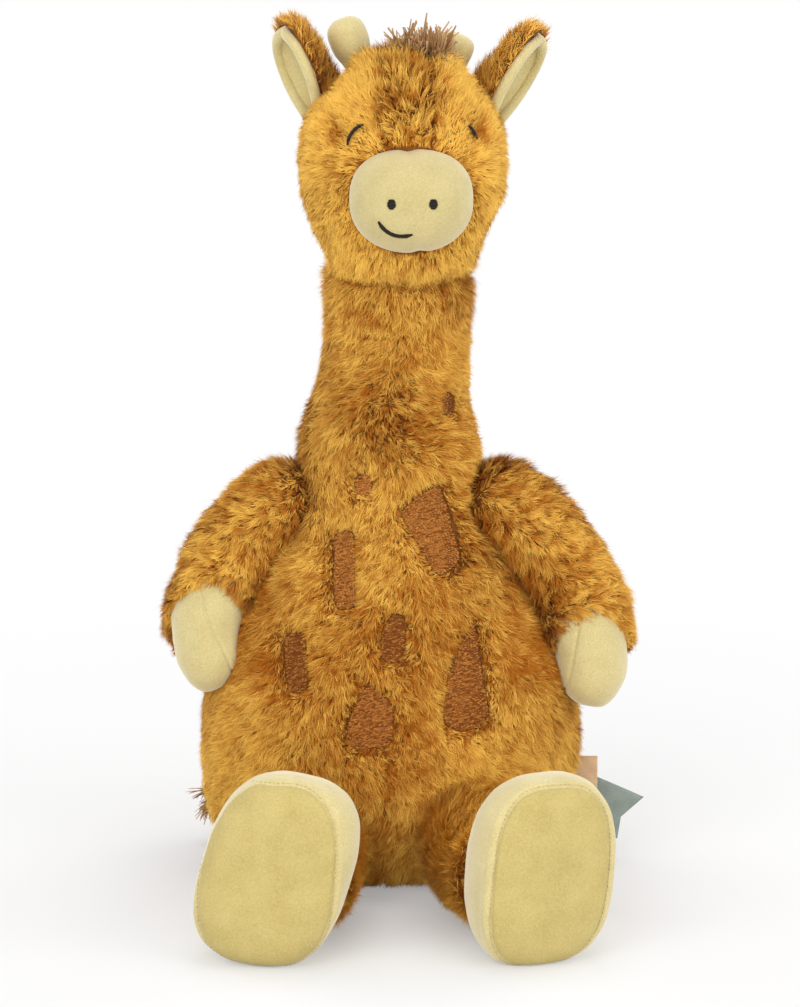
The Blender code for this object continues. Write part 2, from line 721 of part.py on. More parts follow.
def build_head(neck_pivot):
    base_height = TORSO_HEIGHT + NECK_LENGTH
    turn = math.radians(HEAD_TURN_DEG)
    lift = base_height - (TORSO_HEIGHT - ROCKER_DROP)
    pivot = add_pivot("head_pivot", (HEAD_OFFSET, 0, lift), (0, 0, turn), neck_pivot)

    def lowered(shape):
        bmesh.ops.translate(shape, vec=(-HEAD_OFFSET, 0, -base_height), verts=shape.verts)
        return shape

    base = head_shape()
    cover = grown(base, FUR_DEPTH)
    muzzle = muzzle_shape()
    collar = add_cutter("cutter_head_collar", lowered(collar_shape(0)), pivot)
    cavity = add_cutter("cutter_head_cavity", base, pivot)
    muzzle_hole = add_cutter("cutter_muzzle_hole", grown(muzzle, GAP), pivot)

    stuffing = add_piece("head_stuffing", grown(base, -GAP), STUFFING, pivot)
    muzzle_fill = add_cutter("cutter_muzzle_stuffing", grown(muzzle, -VELOUR_DEPTH - GAP), pivot)
    combine(stuffing, muzzle_fill, "UNION")
    keep_inside(stuffing, collar)

    half = GUSSET_WIDTH / 2
    foot = GUSSET_FOOT

    def strip(name, extra):
        """The strip over the head, down to the muzzle in front and to the neck behind."""
        over = side_box((-half - extra, None, foot - extra), (half + extra, None, None))
        top = add_cutter(name, over, pivot)
        back = side_box((-half - extra, -extra, None), (half + extra, None, None))
        combine(top, add_cutter(name + "_back", back, pivot), "UNION")
        return top

    left = add_piece("head_left_panel", cover, FUR, pivot)
    cut(left, cavity, add_cutter("cutter_head_right", side_box(high=(GAP / 2, None, None)), pivot))
    right = add_piece("head_right_panel", cover, FUR, pivot)
    cut(right, cavity, add_cutter("cutter_head_left", side_box(low=(-GAP / 2, None, None)), pivot))
    gusset = add_piece("head_gusset", cover, FUR, pivot)
    cut(gusset, cavity)
    keep_inside(gusset, strip("cutter_gusset", 0))
    wide_strip = strip("cutter_gusset_gap", GAP)
    cut(left, wide_strip)
    cut(right, wide_strip)
    panels = {"left": left, "right": right, "gusset": gusset}
    for item in panels.values():
        keep_inside(item, collar)
        cut(item, muzzle_hole)
    return pivot, base, cover, muzzle, cavity, panels


def build_face(pivot, base, cover, muzzle, cavity, panels):
    face = add_piece("muzzle_cover", muzzle, VELOUR, pivot)
    cut(face, add_cutter("cutter_muzzle_inside", grown(muzzle, -VELOUR_DEPTH), pivot), cavity)
    muzzle_tree = BVHTree.FromBMesh(muzzle)
    head_tree = BVHTree.FromBMesh(cover)
    forward = Vector((0, 1, 0))

    for side, sign in (("left", 1), ("right", -1)):
        across = sign * NOSTRIL_SPACING / 2 + NOSTRIL_OFFSET
        place = front_point(muzzle_tree, across, MUZZLE_RISE + NOSTRIL_RISE)
        shape = ball((0, 0, 0), 1, THREAD_SIDES)
        size = Vector((NOSTRIL_WIDTH, VELOUR_DEPTH, NOSTRIL_HEIGHT)) / 2
        bmesh.ops.scale(shape, vec=size, verts=shape.verts)
        bmesh.ops.translate(shape, vec=place, verts=shape.verts)
        add_piece("nostril_" + side, shape, EMBROIDERY_DARK, pivot, THREAD_ROUGHNESS)
        cut(face, add_cutter("cutter_nostril_" + side, grown(shape, GAP), pivot))

    points = thread_arc(muzzle_tree, (SMILE_OFFSET, MUZZLE_RISE - SMILE_DROP), SMILE_RADIUS,
                        SMILE_START_DEG, SMILE_END_DEG, THREAD_STEPS)
    radii = [SMILE_THREAD / 2] * len(points)
    smile = tube(points, radii, THREAD_SIDES, forward)
    add_piece("smile", smile, EMBROIDERY_DARK, pivot, THREAD_ROUGHNESS)
    cut(face, add_cutter("cutter_smile", grown(smile, GAP), pivot))

    for side, sign in (("left", 1), ("right", -1)):
        points = thread_arc(head_tree, (sign * EYE_SPACING / 2, EYE_RISE), sign * EYE_RADIUS,
                            sign * EYE_OUTER_DEG, sign * EYE_INNER_DEG, THREAD_STEPS)
        points = [point + forward * EYE_SINK for point in points]
        eye = tube(points, [EYE_THREAD / 2] * len(points), THREAD_SIDES, forward)
        add_piece("eye_" + side, eye, EMBROIDERY_DARK, pivot, THREAD_ROUGHNESS)
        cut(panels[side], add_cutter("cutter_eye_" + side, grown(eye, GAP), pivot))


def build_head_top(pivot, cover, cavity, panels):
    tree = BVHTree.FromBMesh(cover)
    for side, sign in (("left", 1), ("right", -1)):
        stations = [(share, HORN_STALK_RADIUS) for share in HORN_STALK_SHARES]
        stations += [(share, swell * HORN_KNOB_RADIUS) for share, swell in HORN_KNOB_SHARES]
        horn = skin_rings([level_ring((0, 0, share * HORN_LENGTH), ring_outline(radius, radius, SMALL_SIDES))
                           for share, radius in stations])
        lean = Matrix.Rotation(sign * math.radians(HORN_LEAN_DEG), 3, "Y")
        bmesh.ops.rotate(horn, matrix=lean, verts=horn.verts)
        root = (HORN_OFFSET + sign * HORN_SPACING / 2, HORN_BACK, HORN_ROOT_RISE)
        bmesh.ops.translate(horn, vec=root, verts=horn.verts)
        item = add_piece("ossicone_" + side, horn, VELOUR, pivot)
        cut(item, cavity)
        hole = add_cutter("cutter_ossicone_" + side, grown(horn, GAP), pivot)
        cut(panels[side], hole)
        cut(panels["gusset"], hole)

    lean = math.radians(TUFT_LEAN_DEG)
    way = Vector((0, -math.sin(lean), math.cos(lean)))
    tuft = tufted_ball((TUFT_WIDTH / 2, TUFT_DEPTH / 2, TUFT_HEIGHT / 2), TUFT_STRAND, way)
    top = tree.ray_cast(Vector((TUFT_OFFSET, -TUFT_FORWARD, CUTTER_REACH)), Vector((0, 0, -1)))[0]
    bmesh.ops.translate(tuft, vec=top + Vector((0, 0, TUFT_HEIGHT / 2 - TUFT_SINK)), verts=tuft.verts)
    item = add_piece("hair_tuft", tuft, YARN, pivot)
    cut(item, add_cutter("cutter_tuft_seat", grown(cover, GAP), pivot))


def build_ears(pivot, base, cover, panels):
    tree = BVHTree.FromBMesh(cover)
    clearance = grown(base, FUR_DEPTH + EAR_CLEARANCE)
    for side, sign, lean in (("left", 1, LEFT_EAR_LEAN_DEG), ("right", -1, RIGHT_EAR_LEAN_DEG)):
        around = math.radians(EAR_AROUND_DEG)
        way = Vector((sign * math.sin(around), 0, math.cos(around)))
        middle = Vector((0, EAR_BACK, EYE_RISE - EYE_RADIUS))
        place = tree.ray_cast(middle + way * CUTTER_REACH, -way)[0] + way * EAR_SEAT
        turn = (0, sign * math.radians(lean), sign * math.radians(EAR_FACING_DEG))
        root = add_pivot("ear_pivot_" + side, place, turn, pivot)
        socket = ball(place, clear_of_flats(EAR_ROOT_RADIUS), SOCKET_SIDES)
        hollow = add_cutter("cutter_ear_socket_" + side, socket, pivot)
        trim = add_cutter("cutter_ear_trim_" + side, clearance, pivot)
        stem = add_cutter("cutter_ear_root_" + side, ball((0, 0, 0), EAR_ROOT_RADIUS, SMALL_SIDES), root)
        stem_gap = ball((0, 0, 0), EAR_ROOT_RADIUS + GAP, SMALL_SIDES)

        fur = add_piece("ear_" + side + "_back", thicken(ear_leaf(GAP, 1), EAR_FUR_DEPTH), FUR, root)
        cut(fur, trim)
        combine(fur, stem, "UNION")
        leaf = thicken(ear_leaf(-VELOUR_DEPTH, EAR_LINING_SHARE), VELOUR_DEPTH)
        lining = add_piece("ear_" + side + "_lining", leaf, VELOUR, root)
        cut(lining, add_cutter("cutter_ear_lining_" + side, stem_gap, root), trim)
        cut(panels[side], hollow)


def build_arm(side, sign, pivot, trim):
    shape, place = arm_shape()
    if sign < 0:
        bmesh.ops.scale(shape, vec=(-1, 1, 1), verts=shape.verts)
        bmesh.ops.reverse_faces(shape, faces=shape.faces)
    centre, way = place(CUFF_SHARE * ARM_LENGTH)
    cuff = Matrix.Translation(Vector((sign * centre.x, 0, centre.z))) @ Vector(
        (sign * way.x, 0, way.z)).to_track_quat("Z", "Y").to_matrix().to_4x4()

    def beyond(offset):
        region = side_box(low=(None, None, offset))
        bmesh.ops.transform(region, matrix=cuff, verts=region.verts)
        return region

    cavity = add_cutter("cutter_arm_cavity_" + side, shape, pivot)
    fur = add_piece("arm_" + side + "_sleeve", grown(shape, FUR_DEPTH), FUR, pivot)
    cut(fur, cavity, add_cutter("cutter_cuff_" + side, beyond(0), pivot), trim)
    hand = add_piece("hand_" + side, grown(shape, VELOUR_DEPTH), VELOUR, pivot)
    cut(hand, cavity, trim)
    keep_inside(hand, add_cutter("cutter_hand_" + side, beyond(GAP), pivot))
    stuffing = add_piece("arm_" + side + "_stuffing", grown(shape, -GAP), STUFFING, pivot)
    cut(stuffing, trim)


def build_leg(side, sign, roll_deg, pivot, trim, floor):
    shape = leg_shape(sign * math.radians(roll_deg))
    cavity = add_cutter("cutter_leg_cavity_" + side, shape, pivot)
    cuff = LEG_FUR_LENGTH - VELOUR_DEPTH
    seam = LEG_LENGTH - SOLE_DEPTH
    ankle = ring_outline(LEG_RADIUS, LEG_RADIUS, FOOT_SIDES)
    shank = skin_rings(shank_rings() + [level_ring((0, 0, LEG_FUR_LENGTH + FUR_DEPTH), ankle)])
    past_cuff = add_cutter("cutter_ankle_" + side, side_box(low=(None, None, cuff)), pivot)
    before_cuff = add_cutter("cutter_foot_back_" + side, side_box(high=(None, None, cuff + GAP)), pivot)
    past_seam = add_cutter("cutter_sole_" + side, side_box(low=(None, None, seam)), pivot)
    before_seam = add_cutter("cutter_sole_back_" + side, side_box(high=(None, None, seam + GAP)), pivot)

    fur = add_piece("leg_" + side + "_cover", grown(shank, FUR_DEPTH), FUR, pivot)
    cut(fur, past_cuff, cavity, trim, floor)
    upper = add_piece("foot_" + side + "_upper", grown(shape, VELOUR_DEPTH), VELOUR, pivot)
    cut(upper, cavity, before_cuff, past_seam, floor)
    sole = add_piece("foot_" + side + "_sole", grown(shape, VELOUR_DEPTH), VELOUR, pivot)
    cut(sole, cavity, before_seam, floor)
    stuffing = add_piece("leg_" + side + "_stuffing", grown(shape, -GAP), STUFFING, pivot)
    cut(stuffing, trim)


def tail_root(cover_tree):
    """Middle of the tail's rounded root, half sunk in the back of the body."""
    back = cover_tree.ray_cast(Vector((0, CUTTER_REACH, TAIL_HEIGHT)), Vector((0, -1, 0)))[0]
    return back + Vector((0, TAIL_RADIUS / 2, 0))


def build_tail(cover_tree, root, trim):
    side = side_point(cover_tree, -1, 0, TAIL_HEIGHT)
    half_depth = root.y + TAIL_RADIUS / 2 + TAIL_CLEARANCE
    half_width = -side.x + TAIL_RADIUS + TAIL_CLEARANCE
    pivot = add_pivot("tail_pivot", root)
    points, radii = [], []
    for turn_share in ROOT_TURN_SHARES:
        turn = math.pi / 2 * turn_share
        points.append(Vector((TAIL_RADIUS * math.cos(turn), 0, 0)))
        radii.append(TAIL_RADIUS * math.sin(turn))
    for index in range(TAIL_STEPS + 1):
        share = index / TAIL_STEPS
        angle = math.pi / 2 + math.radians(TAIL_SWEEP_DEG) * share
        # the root starts half sunk, and the rest of the tail comes clear of the body
        clear = min(share / TAIL_CLEAR_SHARE, 1)
        depth = (half_depth - root.y) * clear + root.y
        point = Vector((half_width * math.cos(angle), depth * math.sin(angle),
                        TAIL_HEIGHT - TAIL_DROP * share ** TAIL_DROP_POWER))
        points.append(point - root)
        radii.append(TAIL_RADIUS)
    tail = add_piece("tail_cover", tube(points, radii, SMALL_SIDES, Vector((0, 0, 1))), FUR, pivot)
    cut(tail, trim)

    way = (points[-1] - points[-2]).normalized()
    tuft = tufted_ball((TAIL_TUFT_RADIUS,) * 3, TAIL_TUFT_STRAND, way)
    bmesh.ops.translate(tuft, vec=points[-1] + way * (TAIL_TUFT_RADIUS / 2), verts=tuft.verts)
    item = add_piece("tail_tuft", tuft, YARN, pivot)
    level = way.to_track_quat("Z", "Y").to_matrix().to_4x4()
    behind = side_box(high=(None, None, 0))
    bmesh.ops.transform(behind, matrix=Matrix.Translation(points[-1] + way * GAP) @ level, verts=behind.verts)
    cut(item, add_cutter("cutter_tail_end", behind, pivot), trim)


def build_tags(cover_tree):
    low, high = LABEL_HEIGHT - LABEL_WIDTH / 2, LABEL_HEIGHT + LABEL_WIDTH / 2
    label_back = SEAM_BACK - LABEL_FORWARD
    seat = max(side_point(cover_tree, 1, label_back, height).x for height in (low, high)) + GAP
    label = box((seat, label_back - LABEL_DEPTH, low), (seat + LABEL_REACH, label_back, high))
    long_edges = [edge for edge in label.edges if min(corner.co.x for corner in edge.verts) > seat
                  and abs(edge.verts[0].co.z - edge.verts[1].co.z) > LABEL_DEPTH]
    bmesh.ops.bevel(label, geom=long_edges, offset=LABEL_DEPTH * LABEL_ROUNDING_SHARE, segments=3,
                    profile=0.5, affect="EDGES")
    add_piece("side_label", label, PEACH_TAPE)

    half = FLAG_WIDTH / 2
    flag_front = SEAM_BACK + FLAG_BACK
    ends = (FLAG_HEIGHT - half, FLAG_HEIGHT + half)
    seat = max(side_point(cover_tree, 1, flag_front, height).x for height in ends) + FLAG_SEAT
    pivot = add_pivot("flag_pivot", (seat, flag_front, FLAG_HEIGHT))
    outline = [(across * FLAG_LENGTH, up * half) for across, up in FLAG_SHARES]
    add_piece("flag_tag", slab(outline, 0, FLAG_DEPTH), GREY_TAPE, pivot)


def main():
    clear_scene()
    base = body_shape()
    cover = grown(base, FUR_DEPTH)
    cover_tree = BVHTree.FromBMesh(cover)
    floor = add_cutter("cutter_floor", side_box(high=(None, None, 0)))

    arm_turns = {"left": (1, LEFT_ARM_LIFT_DEG), "right": (-1, RIGHT_ARM_LIFT_DEG)}
    leg_turns = {"left": (1, LEFT_SPLAY_DEG, LEFT_FOOT_ROLL_DEG),
                 "right": (-1, RIGHT_SPLAY_DEG, RIGHT_FOOT_ROLL_DEG)}
    # each root has its place, how far from there it keeps its shape inside the body, and its socket's radius
    pivots, roots = {}, {}
    shoulder_reach = clear_of_flats(ARM_RADIUS + FUR_DEPTH)
    hip_reach = clear_of_flats(LEG_RADIUS + FUR_DEPTH)
    tail_reach = clear_of_flats(TAIL_RADIUS)
    for side, (sign, lift) in arm_turns.items():
        place = side_point(cover_tree, sign, -SHOULDER_FORWARD, TORSO_HEIGHT - SHOULDER_DROP)
        place += Vector((sign * SHOULDER_STANDOFF, 0, 0))
        turn = (-math.radians(ARM_FORWARD_DEG), -sign * math.radians(lift), 0)
        pivots["arm_" + side] = add_pivot("shoulder_pivot_" + side, place, turn)
        roots["shoulder_" + side] = (place, shoulder_reach, clear_of_flats(shoulder_reach))
    for side, (sign, splay, _) in leg_turns.items():
        place = front_point(cover_tree, sign * HIP_SPREAD, HIP_HEIGHT) + Vector((0, -HIP_STANDOFF, 0))
        turn = (math.pi / 2, 0, sign * math.radians(splay))
        pivots["leg_" + side] = add_pivot("hip_pivot_" + side, place, turn)
        roots["hip_" + side] = (place, hip_reach, hip_reach)

    tail_place = tail_root(cover_tree)
    roots["tail"] = (tail_place, tail_reach, clear_of_flats(tail_reach))
    trim = add_cutter("cutter_limb_trim", grown(base, FUR_DEPTH + GAP))
    sockets = []
    for name, (place, reach, socket_radius) in roots.items():
        cut(trim, add_cutter("cutter_root_" + name, ball(place, reach, SOCKET_SIDES)))
        sockets.append(add_cutter("cutter_socket_" + name, ball(place, socket_radius, SOCKET_SIDES)))

    front = build_body(base, cover, floor, sockets)
    neck_pivot, neck_fur = build_neck(base, cover)
    build_spots(base, front, neck_fur, neck_pivot)
    pivot, head_base, head_cover, muzzle, cavity, panels = build_head(neck_pivot)
    build_face(pivot, head_base, head_cover, muzzle, cavity, panels)
    build_head_top(pivot, head_cover, cavity, panels)
    build_ears(pivot, head_base, head_cover, panels)
    for side, (sign, _) in arm_turns.items():
        build_arm(side, sign, pivots["arm_" + side], trim)
    for side, (sign, _, roll) in leg_turns.items():
        build_leg(side, sign, roll, pivots["leg_" + side], trim, floor)
    build_tail(cover_tree, tail_place, trim)
    build_tags(cover_tree)


main()
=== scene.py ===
import json
import math

import bmesh
import bpy
import numpy as np
from mathutils import Matrix, Vector
from mathutils.bvhtree import BVHTree


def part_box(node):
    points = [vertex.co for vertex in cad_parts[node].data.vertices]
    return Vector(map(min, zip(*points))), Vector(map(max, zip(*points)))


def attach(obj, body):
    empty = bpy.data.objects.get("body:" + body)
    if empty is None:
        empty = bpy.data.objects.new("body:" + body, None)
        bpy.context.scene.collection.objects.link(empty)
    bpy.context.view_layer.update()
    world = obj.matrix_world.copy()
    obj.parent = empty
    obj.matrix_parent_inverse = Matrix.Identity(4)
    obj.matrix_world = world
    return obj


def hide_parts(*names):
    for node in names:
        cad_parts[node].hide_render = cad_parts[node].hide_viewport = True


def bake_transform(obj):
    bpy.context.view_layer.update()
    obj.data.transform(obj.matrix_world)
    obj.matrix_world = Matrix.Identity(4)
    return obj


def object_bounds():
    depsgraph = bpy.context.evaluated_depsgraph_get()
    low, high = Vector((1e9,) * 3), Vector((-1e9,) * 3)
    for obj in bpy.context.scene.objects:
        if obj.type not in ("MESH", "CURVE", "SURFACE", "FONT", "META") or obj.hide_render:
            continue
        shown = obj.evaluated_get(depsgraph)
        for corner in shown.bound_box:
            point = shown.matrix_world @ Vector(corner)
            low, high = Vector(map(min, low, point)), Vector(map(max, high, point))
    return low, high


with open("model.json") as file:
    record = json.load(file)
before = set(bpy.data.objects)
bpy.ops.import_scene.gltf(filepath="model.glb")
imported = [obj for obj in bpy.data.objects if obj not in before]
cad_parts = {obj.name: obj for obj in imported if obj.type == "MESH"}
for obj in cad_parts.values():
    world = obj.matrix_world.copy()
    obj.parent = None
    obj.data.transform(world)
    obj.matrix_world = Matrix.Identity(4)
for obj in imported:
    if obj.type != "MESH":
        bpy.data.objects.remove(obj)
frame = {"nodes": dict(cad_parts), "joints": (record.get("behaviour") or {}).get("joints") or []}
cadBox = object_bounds()
nodes = frame["nodes"]
joints = {joint["name"]: joint for joint in frame["joints"]}
mm = 0.001
white = (1, 1, 1, 1)
bothSides = (("left", 1), ("right", -1))  # the toy's own sides, and the sign of X there


def jointPlace(name):
    return Vector(joints[name]["pos_m"])


def addObject(name, data):
    item = bpy.data.objects.new(name, data)
    bpy.context.scene.collection.objects.link(item)
    return item


def madeMesh(name, bm):
    mesh = bpy.data.meshes.new(name)
    bm.to_mesh(mesh)
    bm.free()
    return mesh


def setInputs(node, values):
    for socketName, value in values.items():
        node.inputs[socketName].default_value = value


def addNode(tree, kind, values=None, sources=None, **choices):
    # a shader node with its choices, its set values and its links
    node = tree.nodes.new("ShaderNode" + kind)
    for choice, value in choices.items():
        setattr(node, choice, value)
    setInputs(node, values or {})
    for socketName, source in (sources or {}).items():
        tree.links.new(source, node.inputs[socketName])
    return node


# Camera, light and floor

view = {"target": (0.004, 0, 0.1497), "distance": 1.5, "elevation": 10, "sensor": 24, "lens": 88.28,
        "clip": 0.05}


def makeCamera():
    data = bpy.data.cameras.new("photoCamera")
    data.sensor_fit = "VERTICAL"
    data.sensor_height = view["sensor"]
    data.lens = view["lens"]
    data.clip_start = view["clip"]
    camera = addObject("photoCamera", data)
    up = math.radians(view["elevation"])
    away = Vector((0, -math.cos(up), math.sin(up))) * view["distance"]
    camera.location = Vector(view["target"]) + away
    camera.rotation_euler = (-away).to_track_quat("-Z", "Y").to_euler()
    bpy.context.scene.camera = camera


lamps = {  # place, size, watts
    "keyLamp": ((-0.7, -1.5, 1.1), 1.2, 14),
    "fillLamp": ((1.3, -1.1, 0.8), 1.2, 10),
    "topLamp": ((0.1, 0.1, 1.6), 1.0, 7),
    "lowLamp": ((0, -1.8, 0.25), 0.8, 9),
    "leftRimLamp": ((-1.3, 0.9, 0.8), 0.9, 6),
    "rightRimLamp": ((1.3, 0.9, 0.8), 0.9, 6),
}
lampTarget = Vector((0, 0, 0.16))
skyStrength = 0.55


def makeLights():
    for name, (place, size, watts) in lamps.items():
        data = bpy.data.lights.new(name, "AREA")
        data.size = size
        data.energy = watts
        lamp = addObject(name, data)
        lamp.location = place
        lamp.rotation_euler = (lampTarget - Vector(place)).to_track_quat("-Z", "Y").to_euler()
    world = bpy.data.worlds.new("studio")
    world.use_nodes = True
    bpy.context.scene.world = world
    # the camera sees white behind the toy, and a weaker sky lights it
    tree = world.node_tree
    sky = tree.nodes["Background"]
    setInputs(sky, {"Color": white, "Strength": skyStrength})
    plain = addNode(tree, "Background", {"Color": white, "Strength": 1})
    path = addNode(tree, "LightPath")
    mix = addNode(tree, "MixShader", None,
                  {0: path.outputs["Is Camera Ray"], 1: sky.outputs[0], 2: plain.outputs[0]})
    tree.links.new(mix.outputs[0], tree.nodes["World Output"].inputs[0])


# the paper turns pure white away from the toy, so that it has no horizon
paper = {"size": 8, "colour": 0.80, "roughness": 0.95, "nearReach": 0.10, "farReach": 0.55, "nearGlow": 0.30,
         "farGlow": 1.0}


def makeFloor():
    bm = bmesh.new()
    bmesh.ops.create_grid(bm, x_segments=1, y_segments=1, size=paper["size"])
    mesh = madeMesh("studioFloor", bm)
    floor = addObject("studioFloor", mesh)
    material, tree, shader = newMaterial("paperFloor", paper["roughness"])
    setInputs(shader, {"Base Color": (paper["colour"],) * 3 + (1,), "Specular IOR Level": 0})
    glow = addNode(tree, "Emission", {"Color": white})
    place = addNode(tree, "TexCoord")
    reach = addNode(tree, "VectorMath", None, {0: place.outputs["Object"]}, operation="LENGTH")
    share = addNode(tree, "MapRange", {"From Min": paper["nearReach"], "From Max": paper["farReach"],
                                       "To Min": paper["nearGlow"], "To Max": paper["farGlow"]},
                    {"Value": reach.outputs["Value"]})
    path = addNode(tree, "LightPath")
    amount = addNode(tree, "Math", None, {0: path.outputs["Is Camera Ray"], 1: share.outputs[0]},
                     operation="MULTIPLY")
    mix = addNode(tree, "MixShader", None,
                  {0: amount.outputs[0], 1: shader.outputs[0], 2: glow.outputs[0]})
    tree.links.new(mix.outputs[0], tree.nodes["Material Output"].inputs[0])
    mesh.materials.append(material)


# Materials

def newMaterial(name, roughness):
    material = bpy.data.materials.new(name)
    material.use_nodes = True
    shader = material.node_tree.nodes["Principled BSDF"]
    setInputs(shader, {"Roughness": roughness})
    return material, material.node_tree, shader


def newGroup(name, inputs, outputs):
    group = bpy.data.node_groups.new(name, "ShaderNodeTree")
    for socketName, kind, value in inputs:
        group.interface.new_socket(socketName, in_out="INPUT", socket_type=kind).default_value = value
    for socketName, kind in outputs:
        group.interface.new_socket(socketName, in_out="OUTPUT", socket_type=kind)
    return group, group.nodes.new("NodeGroupInput"), group.nodes.new("NodeGroupOutput")


def colourMix(tree, factor, first, second):
    mix = addNode(tree, "Mix", None, {"Factor": factor, "A": first, "B": second}, data_type="RGBA")
    return mix.outputs["Result"]


strandMap = "strandMap"  # across: how light the strand is, up: from its root to its tip


def makeStrandShade():
    colours = [(name, "NodeSocketColor", (0.5, 0.5, 0.5, 1))
               for name in ("Dark Root", "Dark Tip", "Light Root", "Light Tip")]
    group, given, made = newGroup("strandShade", colours, [("Colour", "NodeSocketColor")])
    uv = addNode(group, "UVMap", uv_map=strandMap)
    split = addNode(group, "SeparateXYZ", None, {0: uv.outputs[0]})
    root = colourMix(group, split.outputs["X"], given.outputs["Dark Root"], given.outputs["Light Root"])
    tip = colourMix(group, split.outputs["X"], given.outputs["Dark Tip"], given.outputs["Light Tip"])
    group.links.new(colourMix(group, split.outputs["Y"], root, tip), made.inputs["Colour"])
    return group


def makeClothGrain():
    # fine nap over broad, soft patches
    group, given, made = newGroup(
        "clothGrain",
        [("Dark", "NodeSocketColor", (0.3, 0.3, 0.3, 1)), ("Light", "NodeSocketColor", (0.6, 0.6, 0.6, 1)),
         ("Nap Scale", "NodeSocketFloat", 1300.0), ("Patch Scale", "NodeSocketFloat", 90.0)],
        [("Colour", "NodeSocketColor"), ("Height", "NodeSocketFloat")])
    place = addNode(group, "TexCoord")
    shades = []
    for socketName, detail in (("Nap Scale", 2), ("Patch Scale", 3)):
        noise = addNode(group, "TexNoise", {"Detail": detail},
                        {"Vector": place.outputs["Object"], "Scale": given.outputs[socketName]})
        shades.append(noise.outputs["Fac"])
    blend = addNode(group, "Mix", {"Factor": 0.45}, {"A": shades[0], "B": shades[1]})
    wide = addNode(group, "MapRange", {"From Min": 0.34, "From Max": 0.66},
                   {"Value": blend.outputs["Result"]})
    group.links.new(colourMix(group, wide.outputs[0], given.outputs["Dark"], given.outputs["Light"]),
                    made.inputs["Colour"])
    group.links.new(shades[0], made.inputs["Height"])
    return group


strandShade = makeStrandShade()
clothGrain = makeClothGrain()


def placeGroup(tree, group, values):
    node = addNode(tree, "Group", node_tree=group)
    setInputs(node, values)
    return node


def setSheen(shader, specular, sheen, roughness, tint):
    setInputs(shader, {"Specular IOR Level": specular, "Sheen Weight": sheen, "Sheen Roughness": roughness,
                       "Sheen Tint": (*tint, 1)})


def strandMaterial(name, darkRoot, darkTip, lightRoot, lightTip, roughness, sheen, sheenTint=(1, 1, 1)):
    material, tree, shader = newMaterial(name, roughness)
    shade = placeGroup(tree, strandShade, {"Dark Root": (*darkRoot, 1), "Dark Tip": (*darkTip, 1),
                                           "Light Root": (*lightRoot, 1), "Light Tip": (*lightTip, 1)})
    tree.links.new(shade.outputs["Colour"], shader.inputs["Base Color"])
    setSheen(shader, 0.06, sheen, 0.45, sheenTint)
    return material


def clothMaterial(name, dark, light, roughness=0.9, nap=1300.0, patch=90.0, sheen=0.0, sheenTint=(1, 1, 1)):
    material, tree, shader = newMaterial(name, roughness)
    grain = placeGroup(tree, clothGrain, {"Dark": (*dark, 1), "Light": (*light, 1), "Nap Scale": nap,
                                          "Patch Scale": patch})
    relief = addNode(tree, "Bump", {"Strength": 0.35, "Distance": 0.3 * mm},
                     {"Height": grain.outputs["Height"]})
    tree.links.new(grain.outputs["Colour"], shader.inputs["Base Color"])
    tree.links.new(relief.outputs["Normal"], shader.inputs["Normal"])
    setSheen(shader, 0.2, sheen, 0.5, sheenTint)
    return material


velourTint = (1, 0.97, 0.85)
# the roots are darker than the tips: partly the pile's own colour, partly painted shade deep in the pile
goldenPile = strandMaterial("goldenPile", (0.28, 0.060, 0.004), (0.47, 0.138, 0.010), (0.72, 0.255, 0.017),
                            (0.99, 0.66, 0.128), 0.8, 0.10, (1, 0.84, 0.40))
# painted shade: the backing is dark so that the gaps between strands read as shadowed pile
shadedPileBacking = clothMaterial("shadedPileBacking", (0.15, 0.050, 0.009), (0.24, 0.085, 0.015), 0.95)
creamVelour = clothMaterial("creamVelour", (0.50, 0.410, 0.175), (0.63, 0.535, 0.258), sheen=0.70,
                            sheenTint=velourTint)
# painted shade: a darker copy of the cream velour, for the muzzle that faces the lamps
shadedMuzzleVelour = clothMaterial("shadedMuzzleVelour", (0.455, 0.372, 0.158), (0.575, 0.485, 0.228), sheen=0.50,
                             sheenTint=velourTint)
# painted shade: a darker copy of the cream velour for the soles, which face away from the light from above
shadedSoleVelour = clothMaterial("shadedSoleVelour", (0.43, 0.335, 0.115), (0.54, 0.435, 0.168), sheen=0.20,
                           sheenTint=velourTint)
brownThread = strandMaterial("brownThread", (0.13, 0.036, 0.006), (0.18, 0.052, 0.009), (0.36, 0.130, 0.026),
                             (0.52, 0.205, 0.044), 0.6, 0.0)
spotCloth = clothMaterial("spotCloth", (0.10, 0.028, 0.005), (0.18, 0.058, 0.011), 0.9)
blackThread = strandMaterial("blackThread", (0.010, 0.008, 0.006), (0.016, 0.012, 0.009),
                             (0.022, 0.017, 0.013), (0.035, 0.028, 0.021), 0.42, 0.15)
brownYarn = strandMaterial("brownYarn", (0.12, 0.050, 0.015), (0.28, 0.140, 0.050), (0.28, 0.135, 0.048),
                           (0.62, 0.385, 0.185), 0.8, 0.08)
creamThread = strandMaterial("creamThread", (0.34, 0.25, 0.085), (0.42, 0.33, 0.12), (0.52, 0.42, 0.17),
                             (0.68, 0.58, 0.28), 0.8, 0.2)
peachTape = clothMaterial("peachTape", (0.52, 0.33, 0.18), (0.70, 0.50, 0.31), 0.5, 2600.0, 200.0, sheen=0.2)
greyTape = clothMaterial("greyTape", (0.20, 0.245, 0.22), (0.30, 0.35, 0.32), 0.75, 2600.0, 160.0, sheen=0.1)

makeCamera()
makeLights()
makeFloor()
bpy.context.scene.view_settings.view_transform = "Standard"
print("studio ready")


# Skins: the stuffed shapes that the pile and the velour lie on

def finishPiece(name, bm, materials, body=None, replaced=()):
    return finishMesh(name, madeMesh(name, bm), materials, body, replaced)


